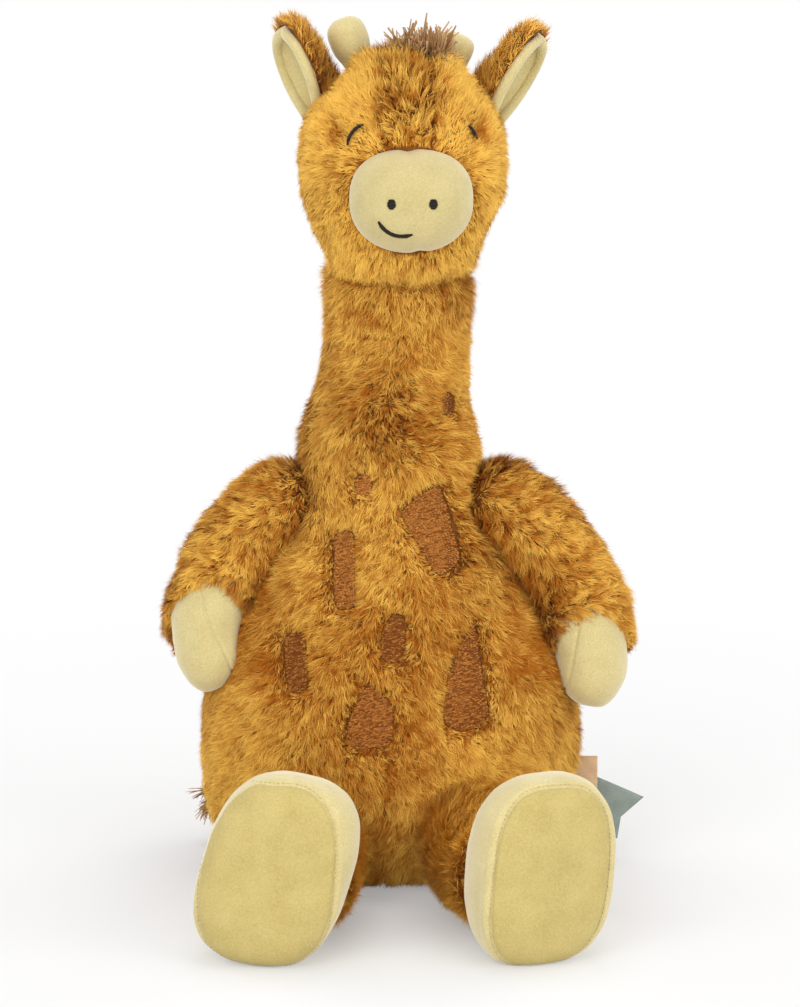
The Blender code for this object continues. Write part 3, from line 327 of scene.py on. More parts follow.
def finishMesh(name, mesh, materials, body=None, replaced=()):
    mesh.shade_smooth()
    for material in materials:
        mesh.materials.append(material)
    piece = addObject(name, mesh)
    if body:
        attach(piece, body)
    if replaced:
        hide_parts(*replaced)
    return piece


def nodeShape(*names):
    bm = bmesh.new()
    for name in names:
        bm.from_mesh(nodes[name].data)
    bmesh.ops.remove_doubles(bm, verts=bm.verts, dist=0.001 * mm)
    return bm


def boxMiddle(name):
    low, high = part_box(name)
    return (Vector(low) + Vector(high)) / 2


def keepLargest(bm):
    # a voxel remesh also makes the inner wall of a cover, which goes
    left, best = set(bm.verts), set()
    while left:
        part, edge = set(), [left.pop()]
        while edge:
            corner = edge.pop()
            part.add(corner)
            for link in corner.link_edges:
                other = link.other_vert(corner)
                if other in left:
                    left.remove(other)
                    edge.append(other)
        if len(part) > len(best):
            best = part
    bmesh.ops.delete(bm, geom=[corner for corner in bm.verts if corner not in best], context="VERTS")


def soften(bm, rounds):
    for _ in range(rounds):
        bmesh.ops.smooth_vert(bm, verts=bm.verts, factor=0.5,
                              use_axis_x=True, use_axis_y=True, use_axis_z=True)


def remeshed(bm, voxel, rounds, grow=0.0):
    item = addObject("remeshing", madeMesh("remeshing", bm))
    step = item.modifiers.new("Remesh", "REMESH")
    step.mode = "VOXEL"
    step.voxel_size = voxel
    result = bpy.data.meshes.new_from_object(item.evaluated_get(bpy.context.evaluated_depsgraph_get()))
    bpy.data.objects.remove(item)
    bm = bmesh.new()
    bm.from_mesh(result)
    keepLargest(bm)
    soften(bm, rounds)
    bm.normal_update()
    for corner in bm.verts:
        corner.co += corner.normal * grow
    bm.normal_update()
    return bm


def flatEnd(name, towards):
    # middle and normal of the widest flat face of a node that looks towards a place
    mesh = nodes[name].data
    way = (towards - boxMiddle(name)).normalized()
    sums = {}
    for face in mesh.polygons:
        if face.normal.dot(way) > 0.8:
            key = tuple(round(value, 2) for value in face.normal)
            area, place = sums.get(key, (0, Vector((0, 0, 0))))
            sums[key] = (area + face.area, place + face.center * face.area)
    key, (area, place) = max(sums.items(), key=lambda entry: entry[1][0])
    return place / area, Vector(key).normalized()


def cutAt(bm, place, normal):
    # drops what lies past the plane on the normal's side, and closes the cut
    bmesh.ops.bisect_plane(bm, geom=bm.verts[:] + bm.edges[:] + bm.faces[:], plane_co=place, plane_no=normal,
                           clear_outer=True)
    bmesh.ops.holes_fill(bm, edges=[edge for edge in bm.edges if edge.is_boundary])
    bmesh.ops.recalc_face_normals(bm, faces=bm.faces)


# Strands: numpy sets the strands of pile and yarn, and copies the stitches

def smoothStep(values, low, high):
    share = np.clip((values - low) / (high - low), 0, 1)
    return share * share * (3 - 2 * share)


def fall(values, low, high):
    return 1 - smoothStep(values, low, high)


def unit(vectors):
    return vectors / np.maximum(np.linalg.norm(vectors, axis=-1, keepdims=True), 1e-9)


def along(vectors, others):
    return (vectors * others).sum(1, keepdims=True)


def moved(points, matrix):
    turn = np.array(matrix)
    return points @ turn[:3, :3].T + turn[:3, 3]


def latticeNoise(points, size, seed):
    # smooth noise from 0 to 1, one column for each of three fields
    table = np.random.default_rng(seed).random((32, 32, 32, 3))
    scaled = points / size
    low = np.floor(scaled).astype(int)
    share = smoothStep(scaled - low, 0, 1)
    total = np.zeros((len(points), 3))
    for corner in range(8):
        step = np.array([corner & 1, corner >> 1 & 1, corner >> 2 & 1])
        weight = np.prod(np.where(step, share, 1 - share), axis=1)
        index = (low + step) % 32
        total += table[index[:, 0], index[:, 1], index[:, 2]] * weight[:, None]
    return total


def nearestTuft(points, size, seed):
    # the middle of the nearest tuft, and a number from 0 to 1 for each tuft
    rng = np.random.default_rng(seed)
    jitter = rng.random((32, 32, 32, 3))
    mark = rng.random((32, 32, 32))
    low = np.floor(points / size).astype(int)
    best = np.full(len(points), 1e9)
    middle, marks = np.zeros((len(points), 3)), np.zeros(len(points))
    for corner in np.ndindex(3, 3, 3):
        cell = low + np.array(corner) - 1
        index = cell % 32
        place = (cell + jitter[index[:, 0], index[:, 1], index[:, 2]]) * size
        gap = ((place - points) ** 2).sum(1)
        nearer = gap < best
        best[nearer] = gap[nearer]
        middle[nearer] = place[nearer]
        marks[nearer] = mark[index[:, 0], index[:, 1], index[:, 2]][nearer]
    return middle, marks


def tripletsOf(rows, field, kind=float):
    values = np.empty(len(rows) * 3, kind)
    rows.foreach_get(field, values)
    return values.reshape(-1, 3)


def scatter(skin, perMm, seed):
    # places and normals of strands' roots, spread evenly over a skin
    mesh = skin.data
    mesh.calc_loop_triangles()
    triangles = tripletsOf(mesh.loop_triangles, "vertices", np.int32)
    places = tripletsOf(mesh.vertices, "co")
    normals = tripletsOf(mesh.vertices, "normal")
    corners = places[triangles]
    areas = np.linalg.norm(np.cross(corners[:, 1] - corners[:, 0], corners[:, 2] - corners[:, 0]), axis=1) / 2
    rng = np.random.default_rng(seed)
    count = int(areas.sum() / mm ** 2 * perMm)
    chosen = np.searchsorted(np.cumsum(areas), (np.arange(count) + rng.random(count)) / count * areas.sum())
    chosen = np.minimum(chosen, len(areas) - 1)
    first, second = rng.random(count), rng.random(count)
    over = first + second > 1
    first[over], second[over] = 1 - first[over], 1 - second[over]
    weights = np.stack([1 - first - second, first, second], 1)[:, :, None]
    return (corners[chosen] * weights).sum(1), unit((normals[triangles[chosen]] * weights).sum(1))


def meshFromArrays(name, corners, triangles, uvs, normals=None):
    corners[:, 2] = np.maximum(corners[:, 2], 0.02 * mm)  # just clear of the ground
    mesh = bpy.data.meshes.new(name)
    mesh.vertices.add(len(corners))
    mesh.vertices.foreach_set("co", corners.astype(np.float32).ravel())
    mesh.loops.add(triangles.size)
    mesh.loops.foreach_set("vertex_index", triangles.astype(np.int32).ravel())
    mesh.polygons.add(len(triangles))
    mesh.polygons.foreach_set("loop_start", np.arange(0, triangles.size, 3, dtype=np.int32))
    mesh.update(calc_edges=True)
    layer = mesh.uv_layers.new(name=strandMap)
    layer.data.foreach_set("uv", uvs[triangles.ravel()].astype(np.float32).ravel())
    mesh.shade_smooth()
    if normals is not None:
        mesh.normals_split_custom_set_from_vertices(normals)
    return mesh


def bladeMesh(name, roots, middles, tips, sides, widths, tones, normals):
    # a strand is two triangles that meet at its widest, the bend between its root and its tip
    count = len(roots)
    half = sides * (widths / 2)[:, None]
    corners = np.stack([roots, middles - half, middles + half, tips], 1).reshape(-1, 3)
    triangles = (np.arange(count)[:, None, None] * 4 + np.array([[0, 2, 1], [1, 2, 3]])).reshape(-1, 3)
    heights = np.tile(np.array([0, 0.5, 0.5, 1]), count)
    uvs = np.stack([np.repeat(tones, 4), heights], 1)
    return meshFromArrays(name, corners, triangles, uvs, np.repeat(normals, 4, axis=0))


def tubeMesh(name, paths, radii, tones, sides=4):
    # paths: strands by points by 3, radii: strands by points
    count, steps = paths.shape[:2]
    ways = unit(np.gradient(paths, axis=1))
    across = unit(np.cross(ways, np.array([0.31, 0.82, 0.47])))
    over = np.cross(ways, across)
    turns = np.arange(sides) * math.tau / sides
    rings = paths[:, :, None] + (across[:, :, None] * np.cos(turns)[:, None] +
                                 over[:, :, None] * np.sin(turns)[:, None]) * radii[:, :, None, None]
    corners = rings.reshape(-1, 3)
    ring = np.arange(sides)
    after = (ring + 1) % sides
    wall = []
    for step in range(steps - 1):
        low, high = step * sides, (step + 1) * sides
        wall.append(np.stack([low + ring, low + after, high + after], 1))
        wall.append(np.stack([low + ring, high + after, high + ring], 1))
    caps = [[0, turn + 1, turn] for turn in range(1, sides - 1)]
    last = (steps - 1) * sides
    caps += [[last, last + turn, last + turn + 1] for turn in range(1, sides - 1)]
    pattern = np.concatenate(wall + [np.array(caps)])
    triangles = (np.arange(count)[:, None, None] * steps * sides + pattern).reshape(-1, 3)
    heights = np.tile(np.repeat(np.linspace(0, 1, steps), sides), count)
    uvs = np.stack([np.repeat(tones, steps * sides), heights], 1)
    return meshFromArrays(name, corners, triangles, uvs)


def stitchShape():
    # one stitch of thread: a slim spindle of unit size along Z
    bm = bmesh.new()
    bmesh.ops.create_uvsphere(bm, u_segments=6, v_segments=4, radius=0.5)
    bmesh.ops.triangulate(bm, faces=bm.faces)
    corners = np.array([tuple(corner.co) for corner in bm.verts])
    triangles = np.array([[corner.index for corner in face.verts] for face in bm.faces])
    bm.free()
    return corners, triangles


def stitchMesh(name, middles, ways, normals, lengths, widths, tones, depthShare=0.7):
    # each stitch lies along its way, on a surface that faces its normal
    corners, triangles = stitchShape()
    ways = unit(ways - normals * along(ways, normals))
    across = np.cross(normals, ways)
    shaped = (middles[:, None] + corners[None, :, 2:3] * (ways * lengths[:, None])[:, None] +
              corners[None, :, 0:1] * (across * widths[:, None])[:, None] +
              corners[None, :, 1:2] * (normals * (widths * depthShare)[:, None])[:, None])
    count = len(middles)
    faces = (np.arange(count)[:, None, None] * len(corners) + triangles[:, ::-1]).reshape(-1, 3)
    uvs = np.stack([np.repeat(tones, len(corners)), np.tile(corners[:, 1] + 0.5, count)], 1)
    return meshFromArrays(name, shaped.reshape(-1, 3), faces, uvs)


pileDensity = 4.8
strandWidth = 0.31 * mm


pileLook = {"length": 6.8 * mm, "lean": 1.02, "leanVary": 0.30, "whorlSize": 26 * mm, "whorlTurn": 1.0,
            "stray": 0.28, "tuftSize": 1.9 * mm, "draw": 0.72, "curl": 0.85, "tone": 0.48, "patchTone": 0.42,
            "tuftTone": 0.62, "rimShade": 1.05, "leanShade": 0.45, "lengthShare": None, "toneShift": None,
            "leanShift": None}
pieceTriangles = 190000  # the most that one piece of pile holds


def growPile(pileName, seed, skin, body, flow, mask=None, **changes):
    settings = {**pileLook, **changes}
    roots, normals = scatter(skin, pileDensity, seed)
    if mask is not None:
        kept = mask(roots, normals)
        roots, normals = roots[kept], normals[kept]
    rng = np.random.default_rng(seed + 1)
    count = len(roots)
    way = flow(roots, normals)
    way = unit(way - normals * along(way, normals))
    # whorls turn the way that the pile lies
    whorl = latticeNoise(roots, settings["whorlSize"], seed + 2)
    turn = (whorl[:, 0] - 0.5) * 2 * settings["whorlTurn"] + rng.normal(0, settings["stray"], count)
    across = np.cross(normals, way)
    way = way * np.cos(turn)[:, None] + across * np.sin(turn)[:, None]
    lean = settings["lean"] + (whorl[:, 1] - 0.5) * 2 * settings["leanVary"] + rng.normal(0, 0.10, count)
    if settings["leanShift"]:
        lean = lean + settings["leanShift"](roots)
    lean = np.clip(lean, 0.05, 1.40)
    patch = latticeNoise(roots, settings["whorlSize"] * 0.24, seed + 3)
    length = settings["length"] * (0.78 + 0.44 * patch[:, 0]) * rng.uniform(0.72, 1.1, count)
    if settings["lengthShare"]:
        length = length * settings["lengthShare"](roots)
    # strands of one tuft draw together at their tips, and its rim is painted darker than its middle, as shade
    # between the tufts
    middle, marks = nearestTuft(roots, settings["tuftSize"], seed + 4)
    draw = middle - roots
    draw -= normals * along(draw, normals)
    rim = np.linalg.norm(draw, axis=1) / settings["tuftSize"]
    rise = normals * np.cos(lean)[:, None] + way * np.sin(lean)[:, None]
    start = normals * np.cos(lean * 0.5)[:, None] + way * np.sin(lean * 0.5)[:, None]
    pull = draw * settings["draw"] * (length / settings["length"])[:, None]
    tips = roots + (start * 0.48 + rise * 0.56) * length[:, None] + pull
    curl = (latticeNoise(roots, settings["tuftSize"] * 0.8, seed + 5) - 0.5) * settings["curl"]
    tips += (curl - normals * along(curl, normals)) * length[:, None]
    tips += rng.normal(0, 0.05, (count, 3)) * length[:, None]
    middles = roots + start * (length * 0.5)[:, None] + pull * 0.35
    roots = roots - normals * 0.3 * mm
    heading = unit(tips - roots)
    sides = unit(np.cross(heading, normals) + rng.normal(0, 0.22, (count, 3)))
    floor = 0.15 * mm
    for rows in (roots, middles, tips):
        rows[:, 2] = np.maximum(rows[:, 2], floor)
    tones = settings["tone"] + (patch[:, 1] - 0.5) * settings["patchTone"] + rng.normal(0, 0.07, count)
    tones += (marks - 0.5) * settings["tuftTone"] - (rim - 0.42) * settings["rimShade"]
    # painted light and shade: strands that lie flatter are lighter, strands that stand up are darker
    tones += (lean - settings["lean"]) * settings["leanShade"]
    if settings["toneShift"]:
        tones = tones + settings["toneShift"](roots)
    tones = np.clip(tones, 0.02, 0.98)
    widths = strandWidth * rng.uniform(0.75, 1.25, count)
    # light falls on the pile as on the cloth under it, with some of each strand's own turn
    facing = np.cross(sides, heading)
    facing *= np.sign(along(facing, normals) + 1e-9)
    soft = unit(normals * 0.72 + facing * 0.28 + rng.normal(0, 0.08, (count, 3)))
    # one piece for each stretch of the skin, so that none passes the limit
    groups = int(np.ceil(count * 2 / pieceTriangles))
    order = np.argsort(roots[:, 2], kind="stable")
    pieces = []
    for index, rows in enumerate(np.array_split(order, groups)):
        name = f"{pileName}_{index + 1}"
        mesh = bladeMesh(name, *(part[rows] for part in (roots, middles, tips, sides, widths, tones, soft)))
        pieces.append(finishMesh(name, mesh, [goldenPile], body))
    print(pileName, count, "strands")
    return pieces


def nodeTree(*names):
    bm = nodeShape(*names)
    tree = BVHTree.FromBMesh(bm)
    bm.free()
    return tree


# Body and neck, as one cover

bodyLook = {
    "voxel": 2.0 * mm, "grow": 2.7 * mm, "lumpSize": 30 * mm, "lump": 2.6 * mm, "spotSink": 1.0 * mm,
    "crown": Vector((0.000, 0, 0.194)), "crownReach": 32 * mm, "seamAcross": -2.0 * mm, "seamTop": 88 * mm,
    "bareReach": {"left_shoulder": 12 * mm, "right_shoulder": 12 * mm, "left_hip": 8 * mm,
                  "right_hip": 8 * mm, "tail_swing": 5 * mm},
    "top": 249 * mm, "collar": 230 * mm, "collarRise": 5.5 * mm,
    # side lightens the pile as painted light; low, the shift where the arms lie and spot darken it as painted
    # shade
    "tones": {"side": 0.03, "low": 0.16, "bottom": 0.24, "armShade": 0.42, "crown": 0.03, "seam": 0.15,
              "spot": 0.10},
}
spotNames = sorted(name for name in nodes if name.startswith("spot_"))
outlineTurns = np.linspace(0, math.tau, 36, endpoint=False)
outlineWays = np.stack([np.cos(outlineTurns), np.sin(outlineTurns)], 1)


def nodePoints(name):
    return np.array([tuple(corner.co) for corner in nodes[name].data.vertices])


def spotReaches(name):
    # how far the spot's outline reaches each way across X and Z
    return (nodePoints(name)[:, [0, 2]] @ outlineWays.T).max(0)


spotOutlines = {name: spotReaches(name) for name in spotNames}


def spotGap(points):
    # how far each place in front lies outside the nearest spot, and the way there across X and Z
    flat = points[:, [0, 2]]
    gap, way = np.full(len(points), 1.0), np.zeros((len(points), 2))
    for reaches in spotOutlines.values():
        over = flat @ outlineWays.T - reaches
        most = over.max(1)
        nearer = (most < gap) & (points[:, 1] < 0)
        gap[nearer] = most[nearer]
        way[nearer] = outlineWays[over.argmax(1)][nearer]
    return gap, way


def corners(bm):
    return np.array([tuple(corner.co) for corner in bm.verts])


def makeBody():
    bm = remeshed(nodeShape("body_stuffing", "neck_stuffing"), bodyLook["voxel"], 6, bodyLook["grow"])
    places = corners(bm)
    gap, _ = spotGap(places)
    clear = smoothStep(gap, 0, 9 * mm)
    lumps = (latticeNoise(places, bodyLook["lumpSize"], 5)[:, 0] - 0.5) * bodyLook["lump"] * clear
    lumps -= (1 - clear) * bodyLook["spotSink"]
    lumps *= smoothStep(places[:, 2], 8 * mm, 25 * mm)
    # the collar rises round the chin
    rises = smoothStep(places[:, 2], 228 * mm, 240 * mm) * bodyLook["collarRise"]
    for corner, lump, rise in zip(bm.verts, lumps, rises):
        corner.co += corner.normal * lump
        corner.co.z = max(corner.co.z + rise, 0.1 * mm)
    cover = finishPiece("bodyCover", bm, [shadedPileBacking], replaced=(
        "body_front_panel", "body_back_panel", "body_stuffing", "neck_cover", "neck_stuffing"))
    limbs = [(np.array(jointPlace(name)), reach) for name, reach in bodyLook["bareReach"].items()]
    flagPlace = np.array(jointPlace("flag_flap"))

    def bare(points, normals):
        kept = (spotGap(points)[0] > 0) & (points[:, 2] < bodyLook["top"])
        for place, reach in limbs:
            kept &= np.linalg.norm(points - place, axis=1) > reach
        return kept

    crown = np.array(bodyLook["crown"])

    def crownShare(points):
        away = (points - crown)[:, [0, 2]]
        share = fall(np.linalg.norm(away, axis=1), 3 * mm, bodyLook["crownReach"])
        return share * (points[:, 1] < 0), away

    def seamShare(points):
        share = fall(np.abs(points[:, 0] - bodyLook["seamAcross"]), 0.6 * mm, 5 * mm)
        low = fall(points[:, 2], bodyLook["seamTop"] * 0.7, bodyLook["seamTop"])
        return share * low * (points[:, 1] < 0)

    def flow(points, normals):
        way = np.zeros_like(points)
        way[:, 2] = -1 + 0.6 * smoothStep(points[:, 2], 238 * mm, 246 * mm)
        way[:, 0] = points[:, 0] * 9
        share, away = crownShare(points)
        outward = away / np.maximum(np.linalg.norm(away, axis=1, keepdims=True), 1e-6)
        way[:, 0] += outward[:, 0] * share * 0.9
        way[:, 2] += outward[:, 1] * share * 0.9
        gap, aside = spotGap(points)
        near = fall(gap, 1.5 * mm, 4 * mm)
        way[:, 0] -= aside[:, 0] * near * 1.1
        way[:, 2] -= aside[:, 1] * near * 1.1
        seam = seamShare(points)
        way[:, 0] += np.sign(points[:, 0] - bodyLook["seamAcross"]) * seam * 0.3
        return way

    def leanShift(points):
        near = fall(spotGap(points)[0], 1 * mm, 3.5 * mm)
        return -0.42 * crownShare(points)[0] - 0.14 * near

    def lengthShare(points):
        gap, _ = spotGap(points)
        collar = smoothStep(points[:, 2], bodyLook["collar"], bodyLook["top"])
        near = 0.40 + 0.60 * smoothStep(gap, 0.5 * mm, 7 * mm)
        # the flag has room to fold back
        fold = np.linalg.norm(points - flagPlace, axis=1)
        near *= 0.45 + 0.55 * smoothStep(fold, 12 * mm, 28 * mm)
        return near * (1 - 0.10 * seamShare(points)) * (1 + 0.15 * collar)

    def toneShift(points):
        tones = bodyLook["tones"]
        gap, _ = spotGap(points)
        aside, rise = np.abs(points[:, 0]), points[:, 2]
        # painted light on the sides; painted shade low on the belly's front and at the edges of the spots;
        # the pile is lighter towards the bottom
        sideLight = smoothStep(aside, 18 * mm, 45 * mm) * tones["side"]
        low = fall(rise, 110 * mm, 150 * mm)
        low = low * fall(aside, 12 * mm, 50 * mm) * (points[:, 1] < 0) * tones["low"]
        bottom = fall(rise, 40 * mm, 75 * mm) * tones["bottom"]
        # painted shade: the pile is darker where the arms lie against it
        armShade = smoothStep(aside, 38 * mm, 46 * mm) * smoothStep(rise, 78 * mm, 92 * mm)
        armShade = armShade * fall(rise, 128 * mm, 142 * mm) * tones["armShade"]
        return (sideLight - low + bottom - armShade + tones["crown"] * crownShare(points)[0]
                - tones["seam"] * seamShare(points) - tones["spot"] * fall(gap, 0, 2.5 * mm))

    pile = growPile("bodyPile", 11, cover, None, flow, bare, lengthShare=lengthShare, toneShift=toneShift,
                    leanShift=leanShift)
    for piece in [cover] + pile:
        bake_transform(piece)


makeBody()


# Spots: rows of stitches on a cut patch of brown cloth

stitching = {"pitch": 0.48 * mm, "length": 1.15 * mm, "width": 0.56 * mm, "slope": 0.22, "ragged": 0.6 * mm,
             "edge": 0.3 * mm, "toneSpread": 0.34}
spotTones = {"spot_breast_small": 0.75, "spot_breast_large": 0.62, "spot_chest_bar": 0.60, "spot_side": 0.25,
             "spot_middle": 0.22, "spot_belly_large": 0.42, "spot_belly_low": 0.50, "spot_neck": 0.30}


def makeSpot(name, seed):
    rng = np.random.default_rng(seed)
    tree = nodeTree(name)
    reaches = spotOutlines[name]
    places = nodePoints(name)[:, [0, 2]]
    middle = (places.min(0) + places.max(0)) / 2
    span = np.linalg.norm(places.max(0) - places.min(0)) / 2
    row = np.array([math.cos(stitching["slope"]), math.sin(stitching["slope"])])
    climb = np.array([-row[1], row[0]])
    middles, lengths = [], []
    sample = np.arange(-span, span, 0.2 * mm)
    for level in np.arange(-span, span, stitching["pitch"]):
        line = middle + climb * level + sample[:, None] * row
        inside = np.all(line @ outlineWays.T <= reaches - stitching["edge"], axis=1)
        if inside.sum() < 4:
            continue
        start, end = sample[inside][0], sample[inside][-1]
        start += rng.uniform(-1, 0.6) * stitching["ragged"]
        end += rng.uniform(-0.6, 1) * stitching["ragged"]
        ends = [start]
        step = rng.uniform(0.3, 1) * stitching["length"]
        while ends[-1] + step < end - 0.5 * mm:
            ends.append(ends[-1] + step)
            step = rng.uniform(0.8, 1.15) * stitching["length"]
        ends.append(end)
        for low, high in zip(ends, ends[1:]):
            middles.append(middle + climb * (level + rng.normal(0, 0.05) * mm) + row * (low + high) / 2)
            lengths.append(high - low + 0.25 * mm)
    rooted, facing = [], []
    for across, up in middles:
        start = Vector((across, cadBox[0][1] - 1, up))
        hit, normal, _, _ = tree.ray_cast(start, Vector((0, 1, 0)))
        if hit is None:
            hit, normal, _, _ = tree.find_nearest(Vector((across, boxMiddle(name).y, up)))
            normal = Vector((0, -1, 0))
        rooted.append(hit + normal * 0.05 * mm)
        facing.append(normal)
    rooted, facing = np.array(rooted), unit(np.array(facing))
    count = len(rooted)
    ways = np.tile(np.array([row[0], 0, row[1]]), (count, 1)) + rng.normal(0, 0.07, (count, 3))
    tones = np.clip(spotTones[name] + rng.normal(0, stitching["toneSpread"], count), 0.02, 0.98)
    widths = stitching["width"] * rng.uniform(0.85, 1.15, count)
    threads = stitchMesh(name + "Stitches", rooted, ways, facing, np.array(lengths), widths, tones)
    bm = nodeShape(name)
    for face in bm.faces:
        face.material_index = 1
    bm.from_mesh(threads)
    bpy.data.meshes.remove(threads)
    return finishPiece(name.replace("spot_", "stitchedSpot_"), bm, [brownThread, spotCloth],
                       replaced=(name,))


for index, name in enumerate(spotNames):
    piece = makeSpot(name, 60 + index)
    if name == "spot_neck":
        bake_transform(piece)
    else:
        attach(piece, "torso")
print("body and spots ready")


# Head

head = {
    "turn": math.radians(5), "voxel": 1.6 * mm, "sink": -3.6 * mm, "slim": 2.2 * mm, "roll": 7.0 * mm,
    "low": 226 * mm, "seamAcross": 8.5 * mm, "crestRise": 62 * mm, "crownRise": 4.5 * mm,
    "chinSeam": -0.7 * mm,
    "eyeMiddle": (19 * mm, 65 * mm), "dimpleReach": 8 * mm, "dimple": 0.6 * mm,
    "creaseMiddle": (26.5 * mm, 66 * mm), "creaseReach": 4.6 * mm, "creaseTall": 1.7,
    # creases, chin, rim and pits darken the pile as painted shade where shade falls
    "tones": {"all": 0.46, "brow": 0.02, "eyes": 0.10, "creases": 0.85, "seams": 0.50, "chin": 0.15,
              "rim": 0.34, "pits": 0.58, "chinSeam": 0.45},
}
headFrame = Matrix.Translation(jointPlace("head_turn")) @ Matrix.Rotation(head["turn"], 4, "Z")
toHead = headFrame.inverted()
muzzle = {"half": Vector((24.1, 22, 20.1)) * mm, "middle": Vector((0.3, -41, 42.1)) * mm,
          "dartDepth": 0.9 * mm, "dartWidth": 2.4 * mm, "topDart": -1.5 * mm, "lowDart": 3.0 * mm}


def muzzleGap(local):
    # how far each place in the head's frame lies outside the muzzle
    away = (local - np.array(muzzle["middle"])) / np.array(muzzle["half"])
    return (np.linalg.norm(away, axis=1) - 1) * muzzle["half"].z


def headMarks(local):
    # nearness, from 0 to 1, to an eye, to the crease beside it, and to the seams over the brow
    front = smoothStep(-local[:, 1], 5 * mm, 20 * mm)
    aside = np.abs(local[:, 0])

    def near(middle, reach, tall=1.0):
        gap = np.hypot(aside - middle[0], (local[:, 2] - middle[1]) / tall)
        return fall(gap, reach * 0.35, reach) * front

    broken = smoothStep(latticeNoise(local, 5 * mm, 8)[:, 0], 0.35, 0.6)
    seam = fall(np.abs(aside - head["seamAcross"]), 0.4 * mm, 3.2 * mm) * broken
    seam *= smoothStep(local[:, 2], head["crestRise"] - 4 * mm, head["crestRise"] + 3 * mm)
    crease = near(head["creaseMiddle"], head["creaseReach"], head["creaseTall"])
    return near(head["eyeMiddle"], head["dimpleReach"]), crease, seam


def crestShare(local):
    # nearness, from 0 to 1, to the middle of the brow
    up = smoothStep(local[:, 2], 60 * mm, 68 * mm)
    return up * fall(np.abs(local[:, 0]), 9 * mm, 14 * mm)


def browPits(local):
    # small hollows between the curls of the brow
    return smoothStep(latticeNoise(local, 3.6 * mm, 9)[:, 0], 0.54, 0.72) * crestShare(local)


def chinShare(local):
    # nearness, from 0 to 1, to the seam down the middle of the chin
    share = fall(np.abs(local[:, 0] - head["chinSeam"]), 0.5 * mm, 3 * mm)
    return share * fall(local[:, 2], 12 * mm, 18 * mm) * (local[:, 1] < 0)


def quiffShare(local):
    # nearness, from 0 to 1, to the pile that stands up in front of the yarn
    up = smoothStep(local[:, 2], 66 * mm, 74 * mm)
    return up * fall(np.abs(local[:, 0] - 2 * mm), 12 * mm, 26 * mm)


def makeHead():
    shape = nodeShape("head_stuffing", "head_left_panel", "head_right_panel", "head_gusset")
    bm = remeshed(shape, head["voxel"], 8, head["sink"])
    local = moved(corners(bm), toHead)
    eyes, creases, seams = headMarks(local)
    lumps = (latticeNoise(local, 16 * mm, 6)[:, 0] - 0.5) * 1.2 * mm
    lumps = lumps * (1 - eyes) + eyes * head["dimple"] - creases * 2.4 * mm - seams * 1.2 * mm
    lumps -= browPits(local) * 0.8 * mm + chinShare(local) * 1.2 * mm
    lumps -= fall(local[:, 2], 12 * mm, 45 * mm) * head["slim"] * (
        1 + 0.6 * smoothStep(local[:, 0], 0, 20 * mm))
    # the chin's roll is filled out over the neck
    rolls = fall(local[:, 2], 3 * mm, 15 * mm) * head["roll"]
    rises = quiffShare(local) * head["crownRise"]
    for corner, lump, roll, rise in zip(bm.verts, lumps, rolls, rises):
        corner.co += corner.normal * lump + Vector((corner.normal.x, corner.normal.y, 0)) * roll
        corner.co.z += rise
    cover = finishPiece("headCover", bm, [shadedPileBacking], "head", replaced=(
        "head_left_panel", "head_right_panel", "head_gusset", "head_stuffing"))
    turn = np.array(headFrame)[:3, :3]
    centre = np.array(muzzle["middle"])

    def bare(points, normals):
        return (muzzleGap(moved(points, toHead)) > 0.3 * mm) & (points[:, 2] > head["low"])

    def flow(points, normals):
        local = moved(points, toHead)
        way = unit(local - centre)
        way[:, 1] *= 0.3
        # up and outward over the brow, down along the cheeks and in towards the chin
        brow = smoothStep(local[:, 2], 42 * mm, 66 * mm)
        front = smoothStep(-local[:, 1], -8 * mm, 24 * mm) * (0.35 + 0.65 * brow)
        way *= front[:, None]
        way[:, 2] -= 1 - front
        way[:, 0] -= np.sign(local[:, 0]) * fall(local[:, 2], 5 * mm, 30 * mm) * 0.15
        _, _, seams = headMarks(local)
        aside = np.abs(local[:, 0]) - head["seamAcross"]
        way[:, 0] += np.sign(local[:, 0]) * np.sign(aside) * seams * 1.6
        return way @ turn.T

    def lengthShare(points):
        local = moved(points, toHead)
        eyes, _, seams = headMarks(local)
        rim = smoothStep(muzzleGap(local), 0.5 * mm, 6 * mm)
        low = fall(local[:, 2], 0, 16 * mm)
        quiff = quiffShare(local) * smoothStep(-local[:, 1], -8 * mm, 4 * mm)
        return (1 - 0.62 * eyes) * (1 - 0.35 * seams) * (0.5 + 0.5 * rim) * (1 + 0.40 * low + 0.45 * quiff)

    def leanShift(points):
        local = moved(points, toHead)
        eyes, _, _ = headMarks(local)
        return 0.20 * eyes - 0.45 * crestShare(local) - 0.25 * quiffShare(local)

    def toneShift(points):
        local = moved(points, toHead)
        eyes, creases, seams = headMarks(local)
        # painted shade: darker under the chin, round the muzzle, in the creases beside the eyes and in the
        # hollows of the brow
        chin = fall(local[:, 2], -2 * mm, 8 * mm)
        rim = fall(muzzleGap(local), 0.5 * mm, 5 * mm)
        brow = smoothStep(local[:, 2], 50 * mm, 70 * mm) * smoothStep(-local[:, 1], 0, 15 * mm)
        tones = head["tones"]
        return (tones["all"] - tones["brow"] * brow + tones["eyes"] * eyes - tones["creases"] * creases
                - tones["seams"] * seams - tones["chin"] * chin - tones["rim"] * rim
                - tones["pits"] * browPits(local) - tones["chinSeam"] * chinShare(local))

    growPile("headPile", 21, cover, "head", flow, bare, length=5.8 * mm, whorlTurn=0.5, whorlSize=18 * mm,
             leanVary=0.25, tuftSize=2.1 * mm, curl=0.9, lengthShare=lengthShare, leanShift=leanShift,
             toneShift=toneShift)
    return cover


headCover = makeHead()


